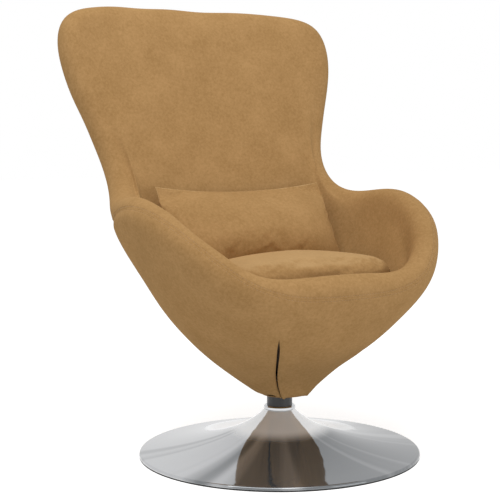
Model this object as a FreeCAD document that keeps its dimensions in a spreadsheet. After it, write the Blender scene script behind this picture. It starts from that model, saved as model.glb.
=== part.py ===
"""Egg chair: an upholstered bucket shell that swivels on a chromed trumpet base.

Millimetres. The origin is on the floor, on the swivel axis. The sitter faces -Y, and +Z is up.
"""
import FreeCAD, Part
import math
import os
import Sketcher
from FreeCAD import Vector

doc = FreeCAD.newDocument("egg_chair")
sheet = doc.addObject("Spreadsheet::Sheet", "sizes")

# Driving sizes, each written once
SIZES = (
    # the chromed base and its rubber ring
    ("base_radius", 300.0), ("base_sheet", 1.5), ("base_lip_height", 9.0), ("base_lip_round", 5.0),
    ("trumpet_bend_radius", 88.0), ("trumpet_bend_height", 31.0), ("neck_height", 98.0),
    ("gasket_width", 11.0), ("gasket_foot", 3.0), ("gasket_leg", 3.0), ("gasket_leg_width", 3.0),
    ("neck_ring_radius", 33.5), ("neck_ring_height", 7.0), ("neck_ring_round", 2.5),
    # the socket under the neck, its ballast and their screws
    ("socket_wall", 2.0), ("socket_floor", 3.0), ("flange_radius", 62.0), ("flange_height", 14.0),
    ("ballast_radius", 150.0), ("ballast_thickness", 6.0),
    ("ballast_screw_circle", 46.0), ("ballast_screw_radius", 3.0), ("ballast_head_radius", 5.5),
    ("ballast_head_height", 3.5), ("ballast_nut_height", 5.0), ("ballast_thread_end", 2.0),
    # the column and what turns in it
    ("column_radius", 27.0), ("column_wall", 2.5), ("column_top", 160.0),
    ("spindle_radius", 12.5), ("spindle_bottom", 46.0), ("spindle_fit", 0.05),
    ("bush_length", 26.0), ("lower_bush_height", 62.0), ("bush_flange", 3.0),
    ("stop_washer", 2.0), ("stop_washer_radius", 20.0),
    ("clip_thickness", 1.5), ("clip_groove_depth", 1.5), ("clip_radius", 16.0), ("clip_gap", 9.0),
    ("race_inner_radius", 13.2), ("race_outer_radius", 24.0), ("race_thickness", 2.0),
    ("ball_radius", 2.5), ("ball_circle", 18.6), ("cage_thickness", 1.6), ("cage_width", 7.0),
    ("bearing_play", 0.1), ("slide_fit", 0.1),
    # the steel plate under the shell and its bolts
    ("hub_radius", 22.0), ("hub_height", 12.0), ("plate_width", 124.0), ("plate_thickness", 4.0),
    ("plate_corner", 14.0), ("bolt_spacing", 84.0), ("bolt_radius", 4.0), ("bolt_clearance", 0.5),
    ("bolt_head_radius", 6.5), ("bolt_head_height", 5.0), ("washer_radius", 9.0),
    ("washer_thickness", 1.6), ("bolt_end", 3.0),
    ("tee_barrel_radius", 5.2), ("tee_barrel_length", 10.0), ("tee_flange_radius", 11.0),
    ("tee_flange_thickness", 1.5), ("tee_fit", 0.1),
    # the moulded core of the shell and the board that lies in it
    ("core_foot_half_width", 94.0), ("core_foot_front", 82.0), ("core_foot_back", 90.0),
    ("core_floor", 6.0), ("core_wall", 6.0), ("board_thickness", 15.0), ("board_clearance", 3.0),
    # the rim: the centre line of the padded edge
    ("rim_radius", 30.0), ("front_reach", 235.0), ("back_reach", 400.0),
    ("lip_height", 378.0), ("arm_height", 538.0), ("top_height", 938.0),
    ("arm_half_width", 326.0), ("waist_half_width", 250.0), ("wing_half_width", 333.0),
    # the bowl below the rim
    ("hem_height", 133.0), ("hem_radius", 53.0), ("hem_forward", 20.0),
    ("belly_height", 172.0), ("belly_half_width", 113.0), ("belly_front", 90.0), ("belly_back", 136.0),
    ("bowl_half_width", 234.0), ("bowl_front", 192.0), ("bowl_back", 242.0),
    ("bowl_front_height", 225.0), ("bowl_side_height", 268.0), ("bowl_back_height", 330.0),
    ("wall_aim_height", 150.0), ("dart_height", 275.0), ("dart_gap", 4.0),
    # the inside of the bowl and the face of the back
    ("floor_height", 315.0), ("floor_half_width", 222.0), ("floor_front", 184.0), ("floor_back", 132.0),
    ("seat_wall_front_rise", 10.0), ("seat_wall_side_rise", 55.0), ("seat_wall_back_rise", 70.0),
    ("back_slope_run", 230.0), ("back_dish", 26.0),
    # the upholstery layers
    ("cover_thickness", 1.6), ("layer_gap", 0.4), ("wadding_thickness", 9.0), ("core_gap", 0.8),
    ("column_hole_gap", 0.5),
    # the loose seat cushion
    ("cushion_half_width", 204.0), ("cushion_front", 188.0), ("cushion_back", 94.0),
    ("cushion_crown_forward", 60.0), ("cushion_height", 120.0), ("cushion_front_height", 112.0),
    ("cushion_side_height", 100.0), ("cushion_back_height", 76.0), ("cushion_rest", 0.3),
    # the loose lumbar pillow
    ("pillow_half_width", 210.0), ("pillow_half_height", 104.0), ("pillow_half_thickness", 52.0),
    ("pillow_forward", 60.0), ("pillow_lean_degrees", 33.0), ("pillow_dip", 16.0),
    ("pillow_rest", 0.3),
    # the covers of both, and their zips
    ("loose_cover", 2.0), ("zip_gap", 0.4),
    # one overrun serves every cut
    ("overrun", 5.0),
)
for number, (alias, value) in enumerate(SIZES, start=1):
    sheet.set("A%d" % number, alias)
    sheet.set("B%d" % number, "%g" % value)
    sheet.setAlias("B%d" % number, alias)
doc.recompute()


def size(alias):
    """The value of one driving size."""
    return float(sheet.get(alias))


# Heights that follow from the driving sizes, kept in the sheet as formulas
DERIVED = (
    ("ballast_bottom", "flange_height - ballast_thickness"),
    ("column_bottom", "flange_height + socket_floor"),
    ("socket_inner", "column_radius + slide_fit"),
    ("socket_outer", "socket_inner + socket_wall"),
    ("column_inner", "column_radius - column_wall"),
    ("bush_outer", "column_inner - slide_fit"),
    ("bush_inner", "spindle_radius + spindle_fit"),
    ("upper_bush_bottom", "column_top - bush_length"),
    ("race_bottom", "column_top + bush_flange"),
    ("ball_centre_height", "race_bottom + race_thickness + ball_radius"),
    ("upper_race_bottom", "race_bottom + race_thickness + 2 * ball_radius + bearing_play"),
    ("hub_bottom", "upper_race_bottom + race_thickness"),
    ("plate_bottom", "hub_bottom + hub_height"),
    ("plate_top", "plate_bottom + plate_thickness"),
    ("core_inside", "plate_top + core_floor"),
    ("board_top", "core_inside + board_thickness"),
    ("washer_bottom", "plate_bottom - washer_thickness"),
    ("stop_washer_bottom", "lower_bush_height - stop_washer - bearing_play"),
    ("clip_bottom", "stop_washer_bottom - clip_thickness"),
    ("outer_stack", "cover_thickness + layer_gap + wadding_thickness + core_gap"),
    ("seat_foam_bottom", "board_top + bolt_end + layer_gap"),
    ("bottom_cover_radius", "hem_radius - 2 * cover_thickness - layer_gap"),
)
for number, (alias, formula) in enumerate(DERIVED, start=1):
    sheet.set("D%d" % number, alias)
    sheet.set("E%d" % number, "=" + formula)
    sheet.setAlias("E%d" % number, alias)
doc.recompute()

PIECES = []


def keep(piece):
    """Note a finished piece, so that it is checked and written at the end."""
    PIECES.append(piece)
    return piece


ALIASES = {alias for alias, _ in SIZES} | {alias for alias, _ in DERIVED}


def bound(formula):
    """A formula as another object reads it: each alias with the sheet's name before it."""
    words = []
    for word in formula.split(" "):
        bare = word.strip("()-")
        words.append(word.replace(bare, "sizes." + bare) if bare in ALIASES else word)
    return " ".join(words)


def worth(formula):
    """The value of a formula over the sheet's sizes."""
    return float(sheet.evalExpression(formula))


def turned(label, corners):
    """A turned piece: a closed outline of (radius, height) formulas, revolved about Z."""
    body = doc.addObject("PartDesign::Body", label)
    outline = body.newObject("Sketcher::SketchObject", label + "_outline")
    plane = [item for item in body.Origin.OriginFeatures if item.Role == "XZ_Plane"][0]
    outline.AttachmentSupport = [(plane, "")]
    outline.MapMode = "FlatFace"
    points = [Vector(worth(radius), worth(height), 0) for radius, height in corners]
    for index, start in enumerate(points):
        outline.addGeometry(Part.LineSegment(start, points[(index + 1) % len(points)]), False)
    for index in range(len(points)):
        outline.addConstraint(Sketcher.Constraint("Coincident", index, 2, (index + 1) % len(points), 1))
    for index, (radius, height) in enumerate(corners):
        if radius == "0":
            outline.addConstraint(Sketcher.Constraint("PointOnObject", index, 1, -2))
        else:
            place = outline.addConstraint(
                Sketcher.Constraint("DistanceX", -1, 1, index, 1, points[index].x))
            outline.setExpression("Constraints[%d]" % place, bound(radius))
        place = outline.addConstraint(Sketcher.Constraint("DistanceY", -1, 1, index, 1, points[index].y))
        outline.setExpression("Constraints[%d]" % place, bound(height))
    turn = body.newObject("PartDesign::Revolution", label + "_turn")
    turn.Profile = outline
    turn.ReferenceAxis = (outline, ["V_Axis"])
    turn.Angle = 360
    doc.recompute()
    return body


def tube(label, inner, outer, bottom, top):
    """A turned ring or tube of four formulas."""
    return turned(label, [(inner, bottom), (outer, bottom), (outer, top), (inner, top)])


def placed(solid, across, along, height):
    """Bind the place of a primitive to three formulas."""
    solid.setExpression("Placement.Base.x", bound(across))
    solid.setExpression("Placement.Base.y", bound(along))
    solid.setExpression("Placement.Base.z", bound(height))
    return solid


def rod(label, radius, length, across, along, bottom):
    """An upright cylinder of formulas."""
    solid = doc.addObject("Part::Cylinder", label)
    solid.setExpression("Radius", bound(radius))
    solid.setExpression("Height", bound(length))
    return placed(solid, across, along, bottom)


def hexagon(label, radius, length, across, along, bottom):
    """An upright six-sided prism of formulas."""
    solid = doc.addObject("Part::Prism", label)
    solid.Polygon = 6
    solid.setExpression("Circumradius", bound(radius))
    solid.setExpression("Height", bound(length))
    return placed(solid, across, along, bottom)


def joined(label, solids):
    """One solid from several that overlap or meet."""
    whole = doc.addObject("Part::MultiFuse", label)
    whole.Shapes = solids
    return whole


def grouped(label, solids):
    """Identical fasteners in one node, each a solid of its own."""
    group = doc.addObject("Part::Compound", label)
    group.Links = solids
    return group


def drilled(label, solid, drills):
    """A piece with every drill cut out of it."""
    tool = doc.addObject("Part::Compound", label + "_drills")
    tool.Links = drills
    cut = doc.addObject("Part::Cut", label)
    cut.Base = solid
    cut.Tool = tool
    return cut


def gasket():
    """The rubber ring that the base stands on: a foot under the skirt and a leg inside it."""
    outer = "base_radius - 0.5 * base_sheet"
    inner = "base_radius - gasket_width"
    leg = "base_radius - gasket_width + gasket_leg_width"
    return turned("base_gasket", [
        (inner, "0"), (outer, "0"), (outer, "gasket_foot"), (leg, "gasket_foot"),
        (leg, "gasket_foot + gasket_leg"), (inner, "gasket_foot + gasket_leg")])


def base_disc():
    """The spun trumpet: one sheet from the skirt over a shallow dome and up to the neck."""
    sheet_thickness = size("base_sheet")
    lip_round = size("base_lip_round")
    skirt = Vector(size("base_radius"), 0, size("gasket_foot"))
    shoulder = Vector(size("base_radius"), 0, size("base_lip_height") - lip_round)
    rim = Vector(size("base_radius") - lip_round, 0, size("base_lip_height"))
    bend = Vector(size("trumpet_bend_radius"), 0, size("trumpet_bend_height"))
    neck = Vector(size("socket_outer") + size("slide_fit") + sheet_thickness, 0, size("neck_height"))
    in_skirt = Vector(sheet_thickness, 0, 0)
    below = Vector(0, 0, sheet_thickness)
    corner = lip_round * (1 - math.sqrt(0.5))
    outer_round = Part.Arc(shoulder, Vector(skirt.x - corner, 0, rim.z - corner), rim).toShape()
    inner_corner = corner + sheet_thickness * math.sqrt(0.5)
    inner_round = Part.Arc(
        shoulder - in_skirt, Vector(skirt.x - inner_corner, 0, rim.z - inner_corner), rim - below).toShape()
    outer_trumpet = Part.BezierCurve()
    outer_trumpet.setPoles([rim, bend, neck])
    inner_trumpet = Part.BezierCurve()
    inner_trumpet.setPoles([rim - below, bend - (in_skirt + below) * math.sqrt(0.5), neck - in_skirt])
    edges = [
        Part.makeLine(skirt, shoulder), outer_round, outer_trumpet.toShape(),
        Part.makeLine(neck, neck - in_skirt), inner_trumpet.toShape(), inner_round,
        Part.makeLine(shoulder - in_skirt, skirt - in_skirt), Part.makeLine(skirt - in_skirt, skirt)]
    outline = Part.Wire(Part.__sortEdges__(edges))
    disc = doc.addObject("Part::Feature", "base_disc")
    disc.Shape = Part.Face(outline).revolve(Vector(0, 0, 0), Vector(0, 0, 1), 360)
    return disc


def neck_ring():
    """The bright ring that closes the neck around the column."""
    chamfer = "neck_height + neck_ring_height - neck_ring_round"
    top = "neck_height + neck_ring_height"
    return turned("neck_ring", [
        ("socket_inner", "neck_height"), ("neck_ring_radius", "neck_height"),
        ("neck_ring_radius", chamfer), ("neck_ring_radius - neck_ring_round", top),
        ("socket_inner", top)])


def column_socket():
    """The tube welded into the neck, with its floor and the flange that carries the ballast."""
    floor = "flange_height + socket_floor"
    plain = turned("column_socket_turned", [
        ("0", "flange_height"), ("flange_radius", "flange_height"), ("flange_radius", floor),
        ("socket_outer", floor), ("socket_outer", "neck_height"), ("socket_inner", "neck_height"),
        ("socket_inner", floor), ("0", floor)])
    return drilled("column_socket", plain, ballast_drills("column_socket"))


def ballast_places():
    """The four places of the ballast screws, as formulas."""
    return [("ballast_screw_circle", "0"), ("-ballast_screw_circle", "0"),
            ("0", "ballast_screw_circle"), ("0", "-ballast_screw_circle")]


def ballast_drills(label):
    """Four drills for the ballast screws, from below the plate to above the flange."""
    return [
        rod("%s_drill_%d" % (label, index), "ballast_screw_radius + slide_fit",
            "ballast_thickness + socket_floor + 2 * overrun", across, along, "ballast_bottom - overrun")
        for index, (across, along) in enumerate(ballast_places())]


def ballast_plate():
    """The steel disc that makes the base heavy."""
    plain = tube("ballast_plain", "0", "ballast_radius", "ballast_bottom", "flange_height")
    return drilled("ballast_plate", plain, ballast_drills("ballast"))


def ballast_screws():
    """Four screws from below, head and shank in one."""
    screws = []
    for index, (across, along) in enumerate(ballast_places()):
        head = rod("ballast_head_%d" % index, "ballast_head_radius", "ballast_head_height",
                   across, along, "ballast_bottom - ballast_head_height")
        shank = rod("ballast_shank_%d" % index, "ballast_screw_radius",
                    "ballast_thickness + socket_floor + ballast_nut_height + ballast_thread_end",
                    across, along, "ballast_bottom")
        screws.append(joined("ballast_screw_%d" % index, [head, shank]))
    return grouped("ballast_screws", screws)


def nut(label, across_flats_radius, bore, length, across, along, bottom):
    """A hexagon nut with its bore."""
    blank = hexagon(label + "_blank", across_flats_radius, length, across, along, bottom)
    bore_rod = rod(label + "_bore", bore, length + " + 2 * overrun", across, along, bottom + " - overrun")
    return drilled(label, blank, [bore_rod])


def ballast_nuts():
    """Four nuts on the flange."""
    return grouped("ballast_nuts", [
        nut("ballast_nut_%d" % index, "ballast_head_radius", "ballast_screw_radius",
            "ballast_nut_height", across, along, "column_bottom")
        for index, (across, along) in enumerate(ballast_places())])


def spindle():
    """The steel shaft: it hangs from the plate and has a groove for the clip."""
    groove = "spindle_radius - clip_groove_depth"
    return turned("spindle", [
        ("0", "spindle_bottom"), ("spindle_radius", "spindle_bottom"), ("spindle_radius", "clip_bottom"),
        (groove, "clip_bottom"), (groove, "stop_washer_bottom"), ("spindle_radius", "stop_washer_bottom"),
        ("spindle_radius", "plate_top"), ("0", "plate_top")])


def spindle_clip():
    """The open clip in the spindle's groove."""
    ring = tube("spindle_clip_ring", "spindle_radius - clip_groove_depth + spindle_fit", "clip_radius",
                "clip_bottom", "stop_washer_bottom")
    mouth = doc.addObject("Part::Box", "spindle_clip_mouth")
    mouth.setExpression("Length", bound("clip_radius + overrun"))
    mouth.setExpression("Width", bound("clip_gap"))
    mouth.setExpression("Height", bound("clip_thickness + 2 * overrun"))
    placed(mouth, "0", "-0.5 * clip_gap", "clip_bottom - overrun")
    return drilled("spindle_clip", ring, [mouth])


def upper_bush():
    """The flanged nylon sleeve in the top of the column."""
    return turned("upper_bush", [
        ("bush_inner", "upper_bush_bottom"), ("bush_outer", "upper_bush_bottom"),
        ("bush_outer", "column_top"), ("column_radius", "column_top"),
        ("column_radius", "race_bottom"), ("bush_inner", "race_bottom")])


# How much of the circle each ball and its web take, in ball radii
BALL_PITCH_SHARE = 4


def ball_places():
    """The angles of the balls: as many as fit the circle with the cage's webs between them."""
    count = int(2 * math.pi * size("ball_circle") / (BALL_PITCH_SHARE * size("ball_radius")))
    return [2 * math.pi * index / count for index in range(count)]


def bearing_balls():
    """The ring of steel balls."""
    balls = doc.addObject("Part::Feature", "bearing_balls")
    balls.Shape = Part.makeCompound([
        Part.makeSphere(size("ball_radius"), Vector(
            size("ball_circle") * math.cos(angle), size("ball_circle") * math.sin(angle),
            size("ball_centre_height")))
        for angle in ball_places()])
    return balls


def bearing_cage():
    """The flat cage that spaces the balls."""
    low = size("ball_centre_height") - size("cage_thickness") / 2
    inner = size("ball_circle") - size("cage_width") / 2
    outer = size("ball_circle") + size("cage_width") / 2
    ring = Part.makeCylinder(outer, size("cage_thickness"), Vector(0, 0, low))
    ring = ring.cut(Part.makeCylinder(inner, size("cage_thickness"), Vector(0, 0, low)))
    pockets = [
        Part.makeCylinder(size("ball_radius") + size("bearing_play"), size("cage_thickness"), Vector(
            size("ball_circle") * math.cos(angle), size("ball_circle") * math.sin(angle), low))
        for angle in ball_places()]
    cage = doc.addObject("Part::Feature", "bearing_cage")
    cage.Shape = ring.cut(Part.makeCompound(pockets))
    return cage


def bolt_places():
    """The four places of the bolts through the plate, as formulas."""
    half = "0.5 * bolt_spacing"
    return [(side + half, end + half) for side in ("", "-") for end in ("", "-")]


def bolt_drills(label, radius):
    """Four drills through whatever the bolts pass."""
    return [
        rod("%s_drill_%d" % (label, index), radius, "board_top - plate_bottom + 2 * overrun",
            across, along, "plate_bottom - overrun")
        for index, (across, along) in enumerate(bolt_places())]


def swivel_plate():
    """The square steel plate with its hub, drilled for the bolts."""
    blank = doc.addObject("Part::Box", "swivel_plate_blank")
    blank.setExpression("Length", bound("plate_width"))
    blank.setExpression("Width", bound("plate_width"))
    blank.setExpression("Height", bound("plate_thickness"))
    placed(blank, "-0.5 * plate_width", "-0.5 * plate_width", "plate_bottom")
    doc.recompute()
    rounded = doc.addObject("Part::Fillet", "swivel_plate_rounded")
    rounded.Base = blank
    uprights = [number for number, edge in enumerate(blank.Shape.Edges, start=1)
                if abs(edge.tangentAt(edge.FirstParameter).z) > 0.5]
    rounded.Edges = [(number, size("plate_corner"), size("plate_corner")) for number in uprights]
    hub = rod("swivel_plate_hub", "hub_radius", "hub_height", "0", "0", "hub_bottom")
    bore = rod("swivel_plate_bore", "spindle_radius + spindle_fit",
               "hub_height + plate_thickness + 2 * overrun", "0", "0", "hub_bottom - overrun")
    plain = joined("swivel_plate_plain", [rounded, hub])
    return drilled("swivel_plate", plain,
                   [bore] + bolt_drills("swivel_plate", "bolt_radius + bolt_clearance"))


def plate_washers():
    """Four washers between the bolt heads and the plate."""
    washers = []
    for index, (across, along) in enumerate(bolt_places()):
        blank = rod("plate_washer_blank_%d" % index, "washer_radius", "washer_thickness",
                    across, along, "washer_bottom")
        bore = rod("plate_washer_bore_%d" % index, "bolt_radius + bolt_clearance",
                   "washer_thickness + 2 * overrun", across, along, "washer_bottom - overrun")
        washers.append(drilled("plate_washer_%d" % index, blank, [bore]))
    return grouped("plate_washers", washers)


def plate_bolts():
    """Four bolts from below, through the plate and the core into the tee nuts."""
    bolts = []
    for index, (across, along) in enumerate(bolt_places()):
        head = hexagon("plate_bolt_head_%d" % index, "bolt_head_radius", "bolt_head_height",
                       across, along, "washer_bottom - bolt_head_height")
        shank = rod("plate_bolt_shank_%d" % index, "bolt_radius", "board_top + bolt_end - washer_bottom",
                    across, along, "washer_bottom")
        bolts.append(joined("plate_bolt_%d" % index, [head, shank]))
    return grouped("plate_bolts", bolts)


def tee_nuts():
    """Four tee nuts let into the top of the board."""
    nuts = []
    for index, (across, along) in enumerate(bolt_places()):
        barrel = rod("tee_barrel_%d" % index, "tee_barrel_radius", "tee_barrel_length",
                     across, along, "board_top - tee_barrel_length")
        flange = rod("tee_flange_%d" % index, "tee_flange_radius", "tee_flange_thickness",
                     across, along, "board_top")
        blank = joined("tee_blank_%d" % index, [barrel, flange])
        bore = rod("tee_bore_%d" % index, "bolt_radius + slide_fit",
                   "tee_barrel_length + tee_flange_thickness + 2 * overrun",
                   across, along, "board_top - tee_barrel_length - overrun")
        nuts.append(drilled("tee_nut_%d" % index, blank, [bore]))
    return grouped("tee_nuts", nuts)


# The rim's stations, from the middle of the front round to the middle of the back. Each has the
# plan angle of its rib in degrees, and shares of the half width, of the reach and of the rise:
# the arms rise from the lip's height to the arms', and the rest from the arms' height to the top's.
ARM_STATION_SHARES = (
    (0, 0.0, -1.0, 0.0), (26, 0.416, -0.987, -0.083), (49, 0.708, -0.86, 0.127),
    (70, 0.938, -0.485, 0.669), (89, 1.0, 0.03, 1.0), (106, 0.935, 0.305, 0.841))
WAIST_STATION_SHARES = ((122, 1.016, 0.547, -0.012), (136, 1.0, 0.727, 0.278))
WING_STATION_SHARES = (
    (150, 0.957, 0.825, 0.668), (161, 1.0, 0.895, 0.987), (171, 0.62, 0.98, 1.0), (180, 0.0, 1.0, 0.99))
# Where along the wall, between the bowl and the rim, the shoulder lies
SHOULDER_SHARE = 0.55
# How far down the wall from the rim's centre line, in rim radii
OUTER_WALL_SHARE = 1.1
INNER_WALL_SHARE = 1.3
# How far in the arms' walls lean: the share of a station's reach that its wall aims at
WALL_LEAN_SHARE = 0.75
# The cubic's own factor that lets eight poles draw a round of the rim's radius
ROUND_SHARE = 6 / (4 + 2 * math.cos(math.radians(45)))


def rim_stations():
    """The half rim: (plan angle in radians, point on the centre line) of each station."""
    stations = []
    zones = (
        (ARM_STATION_SHARES, "arm_half_width", "lip_height", "arm_height"),
        (WAIST_STATION_SHARES, "waist_half_width", "arm_height", "top_height"),
        (WING_STATION_SHARES, "wing_half_width", "arm_height", "top_height"))
    for shares, half_width, low, high in zones:
        for degrees, side_share, depth_share, rise_share in shares:
            reach = size("front_reach") if depth_share < 0 else size("back_reach")
            point = Vector(
                side_share * size(half_width), depth_share * reach,
                size(low) + rise_share * (size(high) - size(low)))
            stations.append((math.radians(degrees), point))
    return stations


def mirrored(half, flip):
    """A whole ring from its half: the other side's stations in the opposite order."""
    return half + [flip(item) for item in reversed(half[1:-1])]


def unit(vector):
    """The vector at length one."""
    return vector * (1 / vector.Length)


HALF_RIM = rim_stations()
ANGLES = mirrored([angle for angle, _ in HALF_RIM], lambda angle: 2 * math.pi - angle)
RIM = mirrored([point for _, point in HALF_RIM], lambda point: Vector(-point.x, point.y, point.z))
COUNT = len(RIM)


def squared(value, box_share):
    """A sine or cosine with its curve pushed out towards a box; a share of 1 leaves it as it is."""
    return math.copysign(abs(value) ** box_share, value)


def oval(half_width, front, back, heights, centre=0.0, box_share=1.0):
    """A ring of poles: an oval with its own front and back depths and (front, side, back) heights."""
    front_height, side_height, back_height = heights
    ring = []
    for angle in ANGLES:
        ahead = math.cos(angle)
        depth = front if ahead > 0 else back
        end_height = front_height if ahead > 0 else back_height
        ring.append(Vector(
            half_width * squared(math.sin(angle), box_share), centre - depth * squared(ahead, box_share),
            side_height + (end_height - side_height) * ahead * ahead))
    return ring


def back_share(angle):
    """How much a rib belongs to the back: 0 at the arms, 1 behind, a smooth step between."""
    start_degrees = 95
    span_degrees = 50
    off_front = abs(math.degrees(math.remainder(angle, math.tau)))
    step = min(max((off_front - start_degrees) / span_degrees, 0), 1)
    return step * step * (3 - 2 * step)


def back_face(side, height):
    """How far back the sloping, dished face of the back lies at a side and a height."""
    slope = size("back_slope_run") / (size("top_height") - size("floor_height"))
    dish = size("back_dish") * (side / size("wing_half_width")) ** 2
    return size("floor_back") + (height - size("floor_height")) * slope - dish


def wall_frames():
    """At each station the direction down the wall and the direction out of it."""
    frames = []
    lean = WALL_LEAN_SHARE
    spine_drop_share = 0.45
    for index, (angle, point) in enumerate(zip(ANGLES, RIM)):
        along = unit(RIM[(index + 1) % COUNT] - RIM[index - 1])
        aim = Vector(point.x * lean, point.y * lean, size("wall_aim_height"))
        side_share = min(abs(point.x) / size("waist_half_width"), 1)
        spine_height = point.z - spine_drop_share * abs(point.x)
        spine_height -= (point.z - size("bowl_back_height")) * (1 - side_share) / 2
        spine = Vector(0, back_face(0, spine_height) + size("rim_radius"), spine_height)
        share = back_share(angle)
        down = unit(aim - point) * (1 - share) + unit(spine - point) * share
        down = unit(down - along * down.dot(along))
        frames.append((down, unit(along.cross(down)) * -1))
    return frames


FRAMES = wall_frames()


def blend(ring, other, share):
    """The ring part way to the other."""
    return [start + (end - start) * share for start, end in zip(ring, other)]


def rim_row(out, down, radius):
    """A ring of poles about the rim's centre line, so many radii out of the wall and down it."""
    return [
        point + wall_out * (out * radius) + wall_down * (down * radius)
        for point, (wall_down, wall_out) in zip(RIM, FRAMES)]


# The skin's net has fifteen rows, from the hem up over the rim and down the inside to the floor.
# A surface's second parameter runs from nothing at the hem over a third of its way at the rim's
# outer side to its end at the floor; its first counts the stations from the middle of the front.
NET_ROWS = 15
NET_END = NET_ROWS - 3
# Where the seam, the foot of the roll and the ledge lie, as shares of the way from hem to floor
SEAM_SHARE = 0.3
ROLL_FOOT_SHARE = 0.7
LEDGE_SHARE = 0.95
SEAM = SEAM_SHARE * NET_END
ROLL_FOOT = ROLL_FOOT_SHARE * NET_END
LEDGE = LEDGE_SHARE * NET_END
# How an inset moves a pole of the sloping bowl: inwards and upwards
BOWL_INWARD_SHARE = 0.8
BOWL_UPWARD_SHARE = 0.6
# The wall above the floor and the floor's inner ring, as shares of the floor's oval
SEAT_WALL_SHARE = 1.05
# How far the floor's plan is from an oval to a box
FLOOR_BOX_SHARE = 0.66
FLOOR_RING_SHARE = 0.8
# How far along from the core's foot to the bowl its second row lies
FOOT_BEND_SHARE = 0.1
# How far the ribs of the back fan out half way up, as a share of their spread at the seat
BACK_FAN_SHARE = 1.25


def bowl_rows(inset):
    """The two rows between the foot of a layer and its rim."""
    inward = inset * BOWL_INWARD_SHARE
    upward = inset * BOWL_UPWARD_SHARE
    bowl = oval(size("bowl_half_width") - inward, size("bowl_front") - inward, size("bowl_back") - inward,
                (size("bowl_front_height") + upward, size("bowl_side_height") + upward,
                 size("bowl_back_height") + upward))
    wall = [
        point + wall_out * (size("rim_radius") - inset) + wall_down * (OUTER_WALL_SHARE * size("rim_radius"))
        for point, (wall_down, wall_out) in zip(RIM, FRAMES)]
    return [bowl, blend(bowl, wall, SHOULDER_SHARE), wall]


def round_rows(inset):
    """The five rows over the rim, from its outer side over the top to its inner side."""
    radius = (size("rim_radius") - inset) * ROUND_SHARE
    eighth = math.radians(45)
    return [
        rim_row(math.cos(step * eighth), -math.sin(step * eighth), radius) for step in range(5)]


def shell_net(inset):
    """The whole skin, moved in by the inset: hem, belly, bowl, rim and the inside to the floor."""
    upward = inset * BOWL_UPWARD_SHARE
    hem = oval(size("hem_radius") - inset, size("hem_radius") - inset, size("hem_radius") - inset,
               [size("hem_height")] * 3, -size("hem_forward"))
    belly = oval(size("belly_half_width") - inset, size("belly_front") - inset, size("belly_back") - inset,
                 [size("belly_height") + upward] * 3)
    inner_wall = [
        point - wall_out * (size("rim_radius") - inset) + wall_down * (INNER_WALL_SHARE * size("rim_radius"))
        for point, (wall_down, wall_out) in zip(RIM, FRAMES)]
    floor_sizes = (size("floor_half_width"), size("floor_front"), size("floor_back"))
    floor_heights = [size("floor_height") - inset] * 3
    wall_heights = [
        size("floor_height") + size(rise)
        for rise in ("seat_wall_front_rise", "seat_wall_side_rise", "seat_wall_back_rise")]
    seat_wall = oval(*[SEAT_WALL_SHARE * extent + inset for extent in floor_sizes], wall_heights,
                     box_share=FLOOR_BOX_SHARE)
    floor_edge = oval(*[extent + inset for extent in floor_sizes], floor_heights,
                      box_share=FLOOR_BOX_SHARE)
    floor_ring = oval(*[FLOOR_RING_SHARE * extent for extent in floor_sizes], floor_heights,
                      box_share=FLOOR_BOX_SHARE)
    half_way = []
    for angle, upper, lower in zip(ANGLES, inner_wall, seat_wall):
        share = back_share(angle)
        middle = (upper + lower) / 2
        middle.x = middle.x * (1 - share) + lower.x * BACK_FAN_SHARE * share
        middle.y = middle.y * (1 - share) + (back_face(middle.x, middle.z) + inset) * share
        half_way.append(middle)
    return ([hem, belly] + bowl_rows(inset) + round_rows(inset)
            + [inner_wall, half_way, seat_wall, floor_edge, floor_ring])


def core_net(inset, foot_height, foot_share=1.0):
    """The moulded core's skin at an inset: a flat foot, the bowl and the wall up into the rim."""
    rows = bowl_rows(inset)
    inward = inset - worth("outer_stack")
    foot = oval(size("core_foot_half_width") - inward, size("core_foot_front") - inward,
                size("core_foot_back") - inward, [worth("plate_top")] * 3)
    raised = []
    for start, end in zip(foot, rows[0]):
        point = start + (end - start) * ((foot_height - start.z) / (end.z - start.z))
        raised.append(Vector(point.x * foot_share, point.y * foot_share, point.z))
    return [raised, blend(raised, rows[0], FOOT_BEND_SHARE)] + rows + round_rows(inset)


def patch(net, start, end, low, high):
    """The net's cubic surface between two stations and two rows, in either order."""
    first = math.floor(start) - 1
    last = math.ceil(end) + 1
    poles = [[row[station % len(row)] for row in net] for station in range(first, last + 1)]
    stations = len(poles)
    rows = len(net)
    surface = Part.BSplineSurface()
    surface.buildFromPolesMultsKnots(
        poles, [1] * (stations + 4), [4] + [1] * (rows - 4) + [4],
        [float(first - 2 + knot) for knot in range(stations + 4)],
        [float(knot) for knot in range(rows - 2)], False, False, 3, 3)
    surface.segment(start, end, min(low, high), max(low, high))
    return surface


def across_edge(surface, row):
    """The edge of a patch at one of its rows."""
    return surface.vIso(row).toShape()


def rib_edge(surface, station):
    """The edge of a patch at one of its stations."""
    return surface.uIso(station).toShape()


def ruled(edge, opposite, same_way=True):
    """The straight-lined face between two edges that run the same way, or opposite ways."""
    return Part.makeRuledSurface(edge, opposite, 1 if same_way else 2)


def flat_cap(edges):
    """A flat face within a ring of edges."""
    return Part.Face(Part.Wire(Part.__sortEdges__(edges)))


def closed(faces):
    """The solid within faces that share their edges."""
    shell = Part.makeShell(faces)
    shell.sewShape()
    solid = Part.makeSolid(Part.Shell(shell.Faces))
    if solid.Volume < 0:
        solid.reverse()
    return solid


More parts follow.
